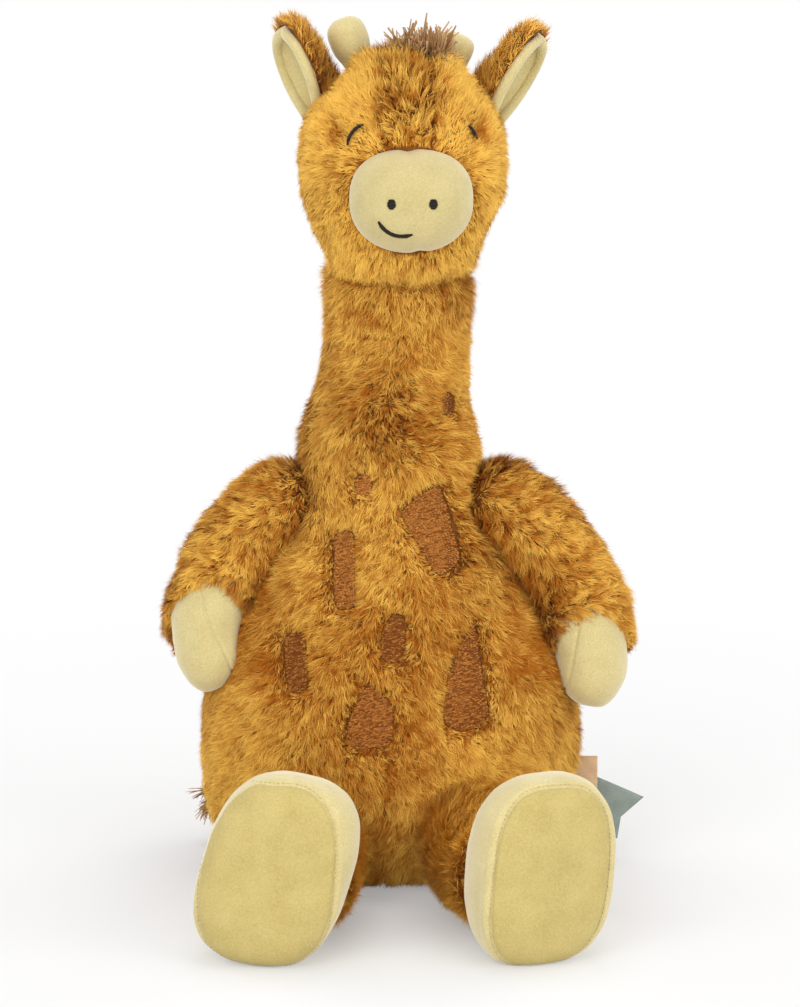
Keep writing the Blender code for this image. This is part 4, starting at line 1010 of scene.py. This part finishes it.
def makeMuzzle():
    bm = bmesh.new()
    bmesh.ops.create_uvsphere(bm, u_segments=96, v_segments=64, radius=1)
    bmesh.ops.rotate(bm, matrix=Matrix.Rotation(math.pi / 2, 3, "X"), verts=bm.verts)
    for corner in bm.verts:
        # a little squarer than round, above all over the nose
        power = 2.5 if corner.co.z > 0 else 2.15
        reach = math.hypot(corner.co.x, corner.co.z)
        if reach > 1e-6:
            square = (abs(corner.co.x) ** power + abs(corner.co.z) ** power) ** (1 / power)
            corner.co.x *= reach / square
            corner.co.z *= reach / square
    bmesh.ops.scale(bm, vec=muzzle["half"], verts=bm.verts)
    for corner in bm.verts:
        dart = muzzle["topDart"] if corner.co.z > 0 else muzzle["lowDart"]
        near = math.exp(-((corner.co.x - dart) / muzzle["dartWidth"]) ** 2)
        outer = smoothStep(abs(corner.co.z) / muzzle["half"].z, 0.55, 1.0)
        side = corner.co.normalized()
        corner.co -= side * near * float(outer) * muzzle["dartDepth"]
    bmesh.ops.translate(bm, vec=muzzle["middle"], verts=bm.verts)
    bmesh.ops.transform(bm, matrix=headFrame, verts=bm.verts)
    bmesh.ops.recalc_face_normals(bm, faces=bm.faces)
    tree = BVHTree.FromBMesh(bm)
    finishPiece("muzzle", bm, [shadedMuzzleVelour], "head", ("muzzle_cover",))
    return tree


muzzleTree = makeMuzzle()


# Face: satin stitches laid across each line

def onFront(tree, across, up):
    # the place and normal where a line from the front meets a shape, in world coordinates
    start = headFrame @ Vector((across, -200 * mm, up))
    way = headFrame.to_3x3() @ Vector((0, 1, 0))
    hit, normal, _, _ = tree.ray_cast(start, way)
    return hit, (normal if normal.dot(way) < 0 else -normal)


satin = {"pitch": 0.34 * mm, "width": 0.62 * mm, "rise": 0.15 * mm, "nostrilShift": 0.9 * mm,
         "nostrilGrow": (0.35 * mm, -0.15 * mm)}


def makeSatin(name, places, normals, ways, lengths, replaced, seed):
    rng = np.random.default_rng(seed)
    places, normals = np.array(places), unit(np.array(normals))
    count = len(places)
    middles = places + normals * satin["rise"]
    ways = unit(np.array(ways)) + rng.normal(0, 0.05, (count, 3))
    lengths = np.array(lengths) * rng.uniform(0.93, 1.07, count)
    mesh = stitchMesh(name, middles, ways, normals, lengths, np.full(count, satin["width"]),
                      np.clip(rng.normal(0.5, 0.25, count), 0, 1), 1.6)
    finishMesh(name, mesh, [blackThread], "head", replaced)


def makeNostril(side):
    local = moved(nodePoints("nostril_" + side), toHead)[:, [0, 2]]
    low, high = local.min(0), local.max(0)
    middle = (low + high) / 2 + np.array([satin["nostrilShift"], 0])
    half = (high - low) / 2 + np.array(satin["nostrilGrow"])
    places, normals, ways, lengths = [], [], [], []
    for rise in np.arange(-half[1] + 0.3 * mm, half[1] - 0.25 * mm, satin["pitch"]):
        reach = half[0] * math.sqrt(1 - (rise / half[1]) ** 2)
        place, normal = onFront(muzzleTree, middle[0], middle[1] + rise)
        places.append(place)
        normals.append(normal)
        ways.append(headFrame.to_3x3() @ Vector((1, 0, 0)))
        lengths.append(reach * 2 + 0.3 * mm)
    makeSatin(f"nostril_{side}Satin", places, normals, ways, lengths, ("nostril_" + side,), 71)


def makeArc(name, tree, arc, replaced, seed, sign=1):
    places, normals, ways, lengths = [], [], [], []
    start, end = (math.radians(value) for value in arc["angles"])
    count = int(abs(end - start) * arc["radius"] / satin["pitch"])
    for index in range(count + 1):
        share = index / count
        angle = start + (end - start) * share
        across = sign * (arc["middle"][0] + arc["radius"] * math.cos(angle))
        up = arc["middle"][1] + arc["radius"] * math.sin(angle)
        place, normal = onFront(tree, across, up)
        places.append(place + normal * arc["rise"])
        normals.append(normal)
        ways.append(headFrame.to_3x3() @ Vector((sign * math.cos(angle), 0, math.sin(angle))))
        lengths.append(arc["width"] * min(1, 0.45 + 4 * min(share, 1 - share)))
    for rows in (places, normals):
        for _ in range(6):
            rows[1:-1] = [(a + b * 2 + c) / 4 for a, b, c in zip(rows, rows[1:], rows[2:])]
    makeSatin(name, places, normals, ways, lengths, replaced, seed)


smileArc = {"middle": (-4.9 * mm, 39.9 * mm), "radius": 9.7 * mm, "angles": (205, 293), "width": 2.2 * mm,
            "rise": 0.0}
eyeArcs = {"left": {"middle": (17.7 * mm, 62.8 * mm), "radius": 8 * mm, "angles": (12, 58), "width": 1.8 * mm,
                    "rise": 2.2 * mm},
           "right": {"middle": (14.5 * mm, 62.8 * mm), "radius": 8 * mm, "angles": (5, 72),
                     "width": 1.8 * mm, "rise": 2.2 * mm}}


def makeFace():
    for side, _ in bothSides:
        makeNostril(side)
    makeArc("smileSatin", muzzleTree, smileArc, ("smile",), 75)
    bm = bmesh.new()
    bm.from_mesh(headCover.data)
    coverTree = BVHTree.FromBMesh(bm)
    bm.free()
    for side, sign in bothSides:
        makeArc(f"eye_{side}Satin", coverTree, eyeArcs[side], ("eye_" + side,), 76, sign)


makeFace()


# Ears: a folded leaf of velour with a rolled rim, backed with pile

ears = {"length": {"left": 41.5 * mm, "right": 39.5 * mm}, "width": 30 * mm, "rootWidth": 11 * mm,
        "cup": 14 * mm, "sink": 9 * mm, "widestShare": 0.52, "tipShare": 0.14, "tipPower": 2.4,
        "taperShare": 0.6, "foldPower": 1.35, "liningShare": 0.93, "cloth": 1.3 * mm, "rim": 2.1 * mm,
        "facing": {"left": math.radians(67), "right": math.radians(73)},
        "shift": {"left": 6.5 * mm, "right": 11.5 * mm},
        "lean": {"left": math.radians(31), "right": math.radians(21)}}


def earPoint(across, rise, size, offset, side):
    past = (rise - ears["widestShare"]) / (1 - ears["widestShare"])
    if past > 0:
        half = ears["width"] / 2 * max(math.sqrt(1 - past ** ears["tipPower"]), ears["tipShare"])
    else:
        narrowing = (ears["width"] - ears["rootWidth"]) * (1 - rise / ears["widestShare"]) ** 2
        half = (ears["width"] - narrowing) / 2
    fold = (1 - abs(across) ** ears["foldPower"]) * (1 - ears["taperShare"] * rise) - 1
    return Vector((across * half * size, ears["cup"] * fold + offset, rise * ears["length"][side] * size
                   - ears["sink"]))


def earSheet(size, offset, thickness, side):
    bm = bmesh.new()
    bmesh.ops.create_grid(bm, x_segments=24, y_segments=30, size=1)
    for corner in bm.verts:
        corner.co = earPoint(corner.co.x, (corner.co.y + 1) / 2, size, offset, side)
    bmesh.ops.recalc_face_normals(bm, faces=bm.faces)
    swept = bmesh.ops.extrude_face_region(bm, geom=list(bm.faces))["geom"]
    moving = [part for part in swept if isinstance(part, bmesh.types.BMVert)]
    bmesh.ops.translate(bm, vec=(0, thickness, 0), verts=moving)
    bmesh.ops.recalc_face_normals(bm, faces=bm.faces)
    return bm


def makeEar(side, sign):
    body = "ear_" + side
    place = (Matrix.Translation(jointPlace(f"{side}_ear")) @ Matrix.Rotation(head["turn"], 4, "Z")
             @ Matrix.Rotation(sign * ears["lean"][side], 4, "Y")
             @ Matrix.Rotation(sign * ears["facing"][side], 4, "Z")
             @ Matrix.Translation((0, ears["shift"][side], 0)))
    bm = earSheet(ears["liningShare"], -ears["cloth"], ears["cloth"], side)
    soften(bm, 2)
    bmesh.ops.transform(bm, matrix=place, verts=bm.verts)
    finishPiece(f"ear_{side}Lining", bm, [creamVelour], body, (f"ear_{side}_lining",))
    # the rim rolls round the leaf from root to root
    size = ears["liningShare"]
    edge = [(-1, rise) for rise in np.linspace(0.05, 1, 24)]
    edge += [(across, 1) for across in np.linspace(-0.8, 0.8, 9)]
    edge += [(1, rise) for rise in np.linspace(1, 0.05, 24)]
    path = np.array([tuple(place @ earPoint(across, rise, size, -ears["cloth"] / 2, side))
                     for across, rise in edge])
    for _ in range(3):
        path[1:-1] = (path[:-2] + path[2:]) / 4 + path[1:-1] / 2
    rim = tubeMesh(f"ear_{side}Rim", path[None], np.full((1, len(path)), ears["rim"]), np.array([0.5]), 12)
    finishMesh(f"ear_{side}Rim", rim, [creamVelour], body)
    bm = earSheet(1, 0.4 * mm, 1.2 * mm, side)
    soften(bm, 2)
    bmesh.ops.transform(bm, matrix=place, verts=bm.verts)
    back = finishPiece(f"ear_{side}Back", bm, [shadedPileBacking], body, (f"ear_{side}_back",))
    turn = np.array(place)[:3, :3]
    inward = place.inverted()

    def flow(points, normals):
        local = moved(points, inward)
        way = np.zeros_like(local)
        way[:, 2] = 1
        way[:, 0] = local[:, 0] * 60
        return way @ turn.T

    def lengthShare(points):
        rise = moved(points, inward)[:, 2] / ears["length"][side]
        return 1 - 0.30 * smoothStep(rise, 0.55, 0.85)

    def toneShift(points):
        rise = moved(points, inward)[:, 2] / ears["length"][side]
        return 0.06 - 0.45 * fall(rise, 0.15, 0.45)

    def bare(points, normals):
        facing = normals @ turn
        local = moved(points, inward)
        return (facing[:, 1] > -0.35) & (local[:, 2] > 0)

    growPile(body + "Pile", 81, back, body, flow, bare, length=6.5 * mm, whorlTurn=0.3, lean=0.95,
             leanVary=0.2, tone=0.84, lengthShare=lengthShare, toneShift=toneShift)


for sideName, sideSign in bothSides:
    makeEar(sideName, sideSign)


# Horns: stuffed velour knobs on short stalks

horn = {"length": {"left": 28.5 * mm, "right": 35 * mm}, "knob": 8.2 * mm, "spacing": 24 * mm,
        "offset": 2 * mm, "back": 12 * mm, "rootRise": 78 * mm, "lean": math.radians(22),
        "profileShares": ((0.0, 0.78), (0.30, 0.74), (0.45, 0.74), (0.54, 0.82), (0.62, 0.94), (0.72, 1.0),
                          (0.84, 1.0), (0.93, 0.86), (0.985, 0.52), (1.0, 0.0))}


def makeHorn(side, sign):
    bm = bmesh.new()
    length = horn["length"][side]
    profile = [bm.verts.new((share * horn["knob"], 0, rise * length))
               for rise, share in horn["profileShares"]]
    chain = [bm.edges.new(pair) for pair in zip(profile, profile[1:])]
    bmesh.ops.spin(bm, geom=profile + chain, cent=(0, 0, 0), axis=(0, 0, 1), angle=math.tau, steps=28,
                   use_merge=True)
    bmesh.ops.remove_doubles(bm, verts=bm.verts, dist=0.01 * mm)
    bmesh.ops.holes_fill(bm, edges=[edge for edge in bm.edges if edge.is_boundary])
    bmesh.ops.subdivide_edges(bm, edges=bm.edges, cuts=1, use_grid_fill=True)
    soften(bm, 4)
    places = corners(bm)
    lumps = (latticeNoise(places, 7 * mm, 30 + sign)[:, 0] - 0.5) * 0.9 * mm
    bm.normal_update()
    for corner, lump in zip(bm.verts, lumps):
        corner.co += corner.normal * lump
    across = horn["offset"] + sign * horn["spacing"] / 2
    place = (headFrame @ Matrix.Translation((across, horn["back"], horn["rootRise"]))
             @ Matrix.Rotation(sign * horn["lean"], 4, "Y"))
    bmesh.ops.transform(bm, matrix=place, verts=bm.verts)
    bmesh.ops.recalc_face_normals(bm, faces=bm.faces)
    finishPiece("horn_" + side, bm, [creamVelour], "head", ("ossicone_" + side,))


for sideName, sideSign in bothSides:
    makeHorn(sideName, sideSign)


# Yarn: a fan of strands on the crown, and a tassel at the tail's end

def growYarn(name, body, replaced, base, axis, across, settings, seed):
    rng = np.random.default_rng(seed)
    ends, fibres = settings["ends"], settings["fibres"]
    axis, across = unit(np.array(axis)), unit(np.array(across))
    over = np.cross(axis, across)
    angle = rng.uniform(0, math.tau, ends)
    reach = np.sqrt(rng.uniform(0, 1, ends))
    side, front = reach * np.cos(angle), reach * np.sin(angle)
    roots = (np.array(base) + across * (side * settings["halfWidth"])[:, None] +
             over * (front * settings["halfDepth"])[:, None])
    ways = axis + across * (side * settings["fan"])[:, None] + over * (front * settings["fan"] * 0.7)[:, None]
    ways = unit(ways + rng.normal(0, 0.13, (ends, 3)))
    lengths = settings["length"] * rng.uniform(0.62, 1.0, ends)
    bend = rng.normal(0, settings["bend"], (ends, 3)) + np.array([0, 0, -0.10])
    # each yarn end frays into fibres
    roots, ways = np.repeat(roots, fibres, 0), np.repeat(ways, fibres, 0)
    count = ends * fibres
    lengths = np.repeat(lengths, fibres) * rng.uniform(0.80, 1.05, count)
    bend = np.repeat(bend, fibres, 0) + rng.normal(0, 0.10, (count, 3))
    roots = roots + rng.normal(0, 0.45 * mm, (count, 3))
    ways = unit(ways + rng.normal(0, 0.07, (count, 3)))
    steps = np.linspace(0, 1, 6)
    paths = (roots[:, None] + ways[:, None] * steps[:, None] * lengths[:, None, None] +
             bend[:, None] * (steps ** 2)[:, None] * lengths[:, None, None])
    paths[:, :, 2] = np.maximum(paths[:, :, 2], 0.4 * mm)
    taper = np.array([1, 1, 1, 1, 0.95, 0.7]) * settings["radius"]
    radii = np.tile(taper, (count, 1)) * rng.uniform(0.8, 1.2, count)[:, None]
    tones = np.clip(np.repeat(rng.uniform(0.1, 0.9, ends), fibres) + rng.normal(0, 0.12, count), 0.02, 0.98)
    mesh = tubeMesh(name, paths, radii, tones)
    finishMesh(name, mesh, [brownYarn], body, replaced)


hairLook = {"ends": 84, "fibres": 8, "halfWidth": 6.8 * mm, "halfDepth": 5.5 * mm, "length": 16.5 * mm,
            "fan": 0.68, "bend": 0.18, "radius": 0.36 * mm, "across": 4.0 * mm}
tailTuftLook = {"ends": 22, "fibres": 6, "halfWidth": 3.0 * mm, "halfDepth": 3.0 * mm, "length": 11 * mm,
                "fan": 0.6, "bend": 0.25, "radius": 0.20 * mm}


def makeHair():
    low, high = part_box("hair_tuft")
    base = Vector(((low.x + high.x) / 2 + hairLook["across"], (low.y + high.y) / 2, low.z - 1.5 * mm))
    lean = math.radians(7)
    axis = headFrame.to_3x3() @ Vector((0, -math.sin(lean), math.cos(lean)))
    across = headFrame.to_3x3() @ Vector((1, 0, 0))
    growYarn("hairTuft", "head", ("hair_tuft",), base, axis, across, hairLook, 91)


makeHair()
print("head ready")


# Arms and legs

armLook = {"voxel": 1.5 * mm, "grow": 1.8 * mm, "handVoxel": 1.2 * mm, "cuffTuck": 16 * mm,
           "cuffDrop": {"left": -0.5 * mm, "right": -17 * mm}, "cuffSlant": 1.7, "wristTuck": 1.8 * mm,
           "backDrop": {"left": 21 * mm, "right": 17 * mm},
           "handNarrow": {"left": 0.05, "right": 0.02}, "handTaper": 0.26,
           "handShift": {"left": Vector((1.2, 0, -6.5)) * mm, "right": Vector((-2.4, 0, 3.5)) * mm},
           "seamShare": 0.30, "seamDepth": 0.7 * mm, "seamWidth": 0.55 * mm}


def makeArm(side, sign):
    body = "arm_" + side
    shoulder = jointPlace(f"{side}_shoulder")
    cuff, back = flatEnd("hand_" + side, shoulder)
    handMiddle = boxMiddle("hand_" + side)
    bm = remeshed(nodeShape(f"arm_{side}_stuffing", "hand_" + side), armLook["voxel"], 6, armLook["grow"])
    # the sleeve reaches lower behind the hand than in front of it
    slant = (-back + Vector((0, -armLook["cuffSlant"], 0))).normalized()
    opening = cuff - back * armLook["cuffDrop"][side] + Vector((0, handMiddle.y - cuff.y - 12 * mm, 0))
    lowest = cuff - back * armLook["backDrop"][side]
    cutAt(bm, opening, slant)
    cutAt(bm, lowest, -back)
    cover = finishPiece(f"arm_{side}Cover", bm, [shadedPileBacking], body,
                        (f"arm_{side}_sleeve", f"arm_{side}_stuffing"))
    reach = np.array(cuff - shoulder)

    def flow(points, normals):
        # from the shoulder down to the cuff, turned outward over the back of the arm
        way = np.tile(reach / np.linalg.norm(reach), (len(points), 1))
        way[:, 0] += sign * 0.25
        way[:, 1] += 0.12
        return way

    inwardWay = np.array([-sign * abs(reach[2]), 0, -abs(reach[0])])

    def toneShift(points):
        # painted shade: darker along the side that lies on the body
        inner = (points - np.array(shoulder)) @ inwardWay / np.linalg.norm(inwardWay)
        return 0.01 - 0.30 * smoothStep(inner, -3 * mm, 11 * mm)

    def fromCuff(points):
        overSlant = (np.array(opening) - points) @ np.array(slant)
        return np.minimum(overSlant, (points - np.array(lowest)) @ np.array(back))

    def lengthShare(points):
        return 0.75 + 0.25 * smoothStep(fromCuff(points), 0, 12 * mm)

    def bare(points, normals):
        return fromCuff(points) > -0.3 * mm

    growPile(body + "Pile", 31 + sign, cover, body, flow, bare, toneShift=toneShift, lengthShare=lengthShare,
             whorlTurn=0.8, tuftSize=3.0 * mm)
    bm = remeshed(nodeShape("hand_" + side, f"arm_{side}_stuffing"), armLook["handVoxel"], 18, 0.9 * mm)
    bmesh.ops.subdivide_edges(bm, edges=bm.edges, cuts=1, use_grid_fill=True, smooth=0.4)
    cutAt(bm, cuff + back * armLook["cuffTuck"], back)
    # a seam runs down the hand between its inner third and the rest
    low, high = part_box("hand_" + side)
    line = handMiddle.x - sign * (high.x - low.x) * (0.5 - armLook["seamShare"])
    tilt = sign * 0.30
    bm.normal_update()
    narrow = armLook["handNarrow"][side]
    for corner in bm.verts:
        gap = corner.co.x - line - tilt * (corner.co.z - handMiddle.z)
        corner.co -= corner.normal * armLook["seamDepth"] * math.exp(-(gap / armLook["seamWidth"]) ** 2)
        past = (cuff - corner.co).dot(back)
        below = float(smoothStep(past, 0, 25 * mm))
        size = 1 - narrow * below - armLook["handTaper"] * float(smoothStep(past, 22 * mm, 46 * mm))
        corner.co.x = (handMiddle.x + (corner.co.x - handMiddle.x) * size
                       + sign * armLook["handShift"][side].x * below)
        corner.co.z += armLook["handShift"][side].z * below
        inside = float(smoothStep((opening - corner.co).dot(slant), -1 * mm, 3 * mm))
        corner.co -= corner.normal * inside * armLook["wristTuck"]
    finishPiece(f"hand_{side}Velour", bm, [creamVelour], body, ("hand_" + side,))


for sideName, sideSign in bothSides:
    makeArm(sideName, sideSign)

legLook = {"voxel": 1.7 * mm, "grow": 1.8 * mm, "footVoxel": 1.3 * mm, "ankleTuck": 2.5 * mm,
           "splay": {"left": math.radians(17), "right": math.radians(6)},
           "seamInset": {"left": (3.2 * mm, 0.9 * mm), "right": (1.8 * mm, 0.9 * mm)},
           "seamShift": {"left": (-0.4 * mm, -2.6 * mm), "right": (2.2 * mm, -2.6 * mm)}, "seamPower": 2.9,
           "footGrow": 2.5 * mm, "footWidth": {"left": 0.93, "right": 0.98}, "footHeight": 0.935,
           "footTilt": 0.08,
           "seamDepth": 1.1 * mm, "seamWidth": 0.55 * mm, "soleBulge": 0.8 * mm, "innerBulge": 5 * mm,
           "stitchPitch": 1.7 * mm, "stitchLength": 1.25 * mm, "stitchWidth": 0.42 * mm}


def makeLeg(side, sign):
    body = "leg_" + side
    hip = jointPlace(f"{side}_hip")
    legFrame = (Matrix.Translation(hip) @ Matrix.Rotation(sign * legLook["splay"][side], 4, "Z")
                @ Matrix.Rotation(math.pi / 2, 4, "X"))
    toLeg = legFrame.inverted()
    ankle, back = flatEnd(f"foot_{side}_upper", hip)
    bm = remeshed(nodeShape(f"leg_{side}_stuffing"), legLook["voxel"], 4, legLook["grow"])
    for corner in bm.verts:
        inward = max(-sign * corner.normal.x, 0) * float(smoothStep(hip.y - corner.co.y, 8 * mm, 25 * mm))
        corner.co.x -= sign * inward * legLook["innerBulge"]
        corner.co.z = max(corner.co.z, 0.1 * mm)
    cutAt(bm, ankle - back * 0.5 * mm, -back)
    cover = finishPiece(f"leg_{side}Cover", bm, [shadedPileBacking], body,
                        (f"leg_{side}_cover", f"leg_{side}_stuffing"))
    reach = -np.array(back)

    def flow(points, normals):
        return np.tile(reach, (len(points), 1))

    def bare(points, normals):
        return normals @ reach < 0.7

    # painted light: the legs' pile is lighter, against the shade between the body and the feet
    growPile(body + "Pile", 41 + sign, cover, body, flow, bare, length=8 * mm, lean=0.85, tone=1.0)
    bm = remeshed(nodeShape(f"foot_{side}_upper", f"foot_{side}_sole", f"leg_{side}_stuffing"),
                  legLook["footVoxel"], 30, legLook["footGrow"])
    bmesh.ops.subdivide_edges(bm, edges=bm.edges, cuts=1, use_grid_fill=True, smooth=0.4)
    cutAt(bm, ankle + back * legLook["ankleTuck"], back)
    centre = boxMiddle(f"foot_{side}_upper")
    for corner in bm.verts:
        corner.co.x = centre.x + (corner.co.x - centre.x) * legLook["footWidth"][side]
        corner.co.x += (corner.co.z - centre.z) * legLook["footTilt"]
        corner.co.z *= legLook["footHeight"]
    bm.normal_update()
    sole = moved(nodePoints(f"foot_{side}_sole"), toLeg)
    low, high = sole.min(0), sole.max(0)
    middle = (low + high)[:2] / 2 + np.array([sign, 1]) * np.array(legLook["seamShift"][side])
    half = (high - low)[:2] / 2 - np.array(legLook["seamInset"][side])
    power = legLook["seamPower"]
    local = moved(corners(bm), toLeg)
    facing = np.array([tuple(corner.normal) for corner in bm.verts]) @ np.array(legFrame)[:3, :3]
    tilted = local[:, :2] - middle
    tilted[:, 0] -= tilted[:, 1] * legLook["footTilt"]
    gap = ((np.abs(tilted / half) ** power).sum(1) ** (1 / power) - 1) * half.mean()
    front = smoothStep(facing[:, 2], 0.15, 0.5) * smoothStep(local[:, 2], high[2] - 14 * mm, high[2] - 8 * mm)
    groove = np.exp(-(gap / legLook["seamWidth"]) ** 2) * front * legLook["seamDepth"]
    welt = np.exp(-((gap - 2.2 * mm) / (1.6 * mm)) ** 2) * front * legLook["soleBulge"]
    inner = (gap < 0) & (front > 0.3)
    for corner, depth, rise in zip(bm.verts, groove, welt):
        corner.co += corner.normal * (rise - depth)
        corner.co.z = max(corner.co.z, 0.0)
    bm.verts.index_update()
    for face in bm.faces:
        face.material_index = int(all(inner[corner.index] for corner in face.verts))
    tree = BVHTree.FromBMesh(bm)
    finishPiece(f"foot_{side}Velour", bm, [creamVelour, shadedSoleVelour], body,
                (f"foot_{side}_upper", f"foot_{side}_sole"))
    # loose stitches show in the sole's seam
    rng = np.random.default_rng(45 + sign)
    turns = np.linspace(0, math.tau, 721)
    rounds = (np.abs(np.cos(turns)) ** power + np.abs(np.sin(turns)) ** power) ** (-1 / power)
    path = np.stack([np.cos(turns), np.sin(turns)], 1) * rounds[:, None] * half
    path[:, 0] += path[:, 1] * legLook["footTilt"]
    path += middle
    reached = np.concatenate([[0], np.cumsum(np.linalg.norm(np.diff(path, axis=0), axis=1))])
    levels = np.arange(0, reached[-1], legLook["stitchPitch"])
    spots = np.stack([np.interp(levels, reached, path[:, axis]) for axis in (0, 1)], 1)
    aheads = np.roll(spots, -1, axis=0) - spots
    turn = legFrame.to_3x3()
    places, normals, ways = [], [], []
    for spot, ahead in zip(spots, aheads):
        hit, normal, _, _ = tree.ray_cast(legFrame @ Vector((*spot, 0.2)), turn @ Vector((0, 0, -1)))
        if hit is not None:
            places.append(hit + normal * 0.05 * mm)
            normals.append(normal)
            ways.append(turn @ Vector((*ahead, 0)))
    count = len(places)
    ways = unit(np.array(ways)) + rng.normal(0, 0.25, (count, 3))
    lengths = legLook["stitchLength"] * rng.uniform(0.7, 1.3, count)
    mesh = stitchMesh(f"foot_{side}Seam", np.array(places), ways, unit(np.array(normals)), lengths,
                      np.full(count, legLook["stitchWidth"]), rng.uniform(0, 0.7, count))
    finishMesh(f"foot_{side}Seam", mesh, [creamThread], body)


for sideName, sideSign in bothSides:
    makeLeg(sideName, sideSign)
print("limbs ready")


# Tail

def makeTail():
    bm = remeshed(nodeShape("tail_cover"), 1.1 * mm, 3, -2.0 * mm)
    cover = finishPiece("tailCover", bm, [shadedPileBacking], "tail", ("tail_cover",))

    def flow(points, normals):
        return np.stack([-points[:, 1], points[:, 0], np.full(len(points), -10 * mm)], 1)

    growPile("tailPile", 51, cover, "tail", flow, length=4.2 * mm, tuftSize=2.4 * mm, whorlTurn=0.3,
             leanVary=0.2)
    end = boxMiddle("tail_tuft")
    way = Vector((-end.y, end.x, -12 * mm)).normalized()
    growYarn("tailTuft", "tail", ("tail_tuft",), end - way * 5 * mm, way, (0, 0, 1), tailTuftLook, 95)


makeTail()


# Tags: a folded satin label and a woven flag, both bare

tagLook = {"fold": 0.45 * mm, "clothThickness": 0.25 * mm, "wave": 0.5 * mm, "drop": 3 * mm,
           "reach": 1.5 * mm}


def makeLabel():
    low, high = (Vector(place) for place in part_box("side_label"))
    low.z -= tagLook["drop"]
    high.x += tagLook["reach"]
    middle = (low.y + high.y) / 2
    radius = tagLook["fold"]
    bm = bmesh.new()
    tip = high.x - radius
    start = bm.verts.new((low.x - 1.5 * mm, middle - radius, low.z))
    bend = bm.verts.new((tip, middle - radius, low.z))
    edges = [bm.edges.new((start, bend))]
    turned = bmesh.ops.spin(bm, geom=[bend], cent=(tip, middle, low.z), axis=(0, 0, 1), angle=math.pi,
                            steps=8)
    last = [part for part in turned["geom_last"] if isinstance(part, bmesh.types.BMVert)][0]
    end = bm.verts.new((low.x - 1.5 * mm, middle + radius, low.z))
    edges.append(bm.edges.new((last, end)))
    swept = bmesh.ops.extrude_edge_only(bm, edges=bm.edges[:])["geom"]
    bmesh.ops.translate(bm, vec=(0, 0, high.z - low.z),
                        verts=[part for part in swept if isinstance(part, bmesh.types.BMVert)])
    bmesh.ops.subdivide_edges(bm, edges=bm.edges, cuts=5, use_grid_fill=True)
    bmesh.ops.recalc_face_normals(bm, faces=bm.faces)
    bmesh.ops.solidify(bm, geom=bm.faces[:], thickness=tagLook["clothThickness"])
    finishPiece("sideLabel", bm, [peachTape], "torso", ("side_label",))


def makeFlag():
    bm = nodeShape("flag_tag")
    bmesh.ops.subdivide_edges(bm, edges=bm.edges, cuts=10, use_grid_fill=True)
    low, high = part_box("flag_tag")
    for corner in bm.verts:
        share = (corner.co.x - low.x) / (high.x - low.x)
        corner.co.y += tagLook["wave"] * math.sin(share * 4.0) * share
    bm.normal_update()
    finishPiece("flagTag", bm, [greyTape], "flag", ("flag_tag",))


makeLabel()
makeFlag()
print("tail and tags ready")
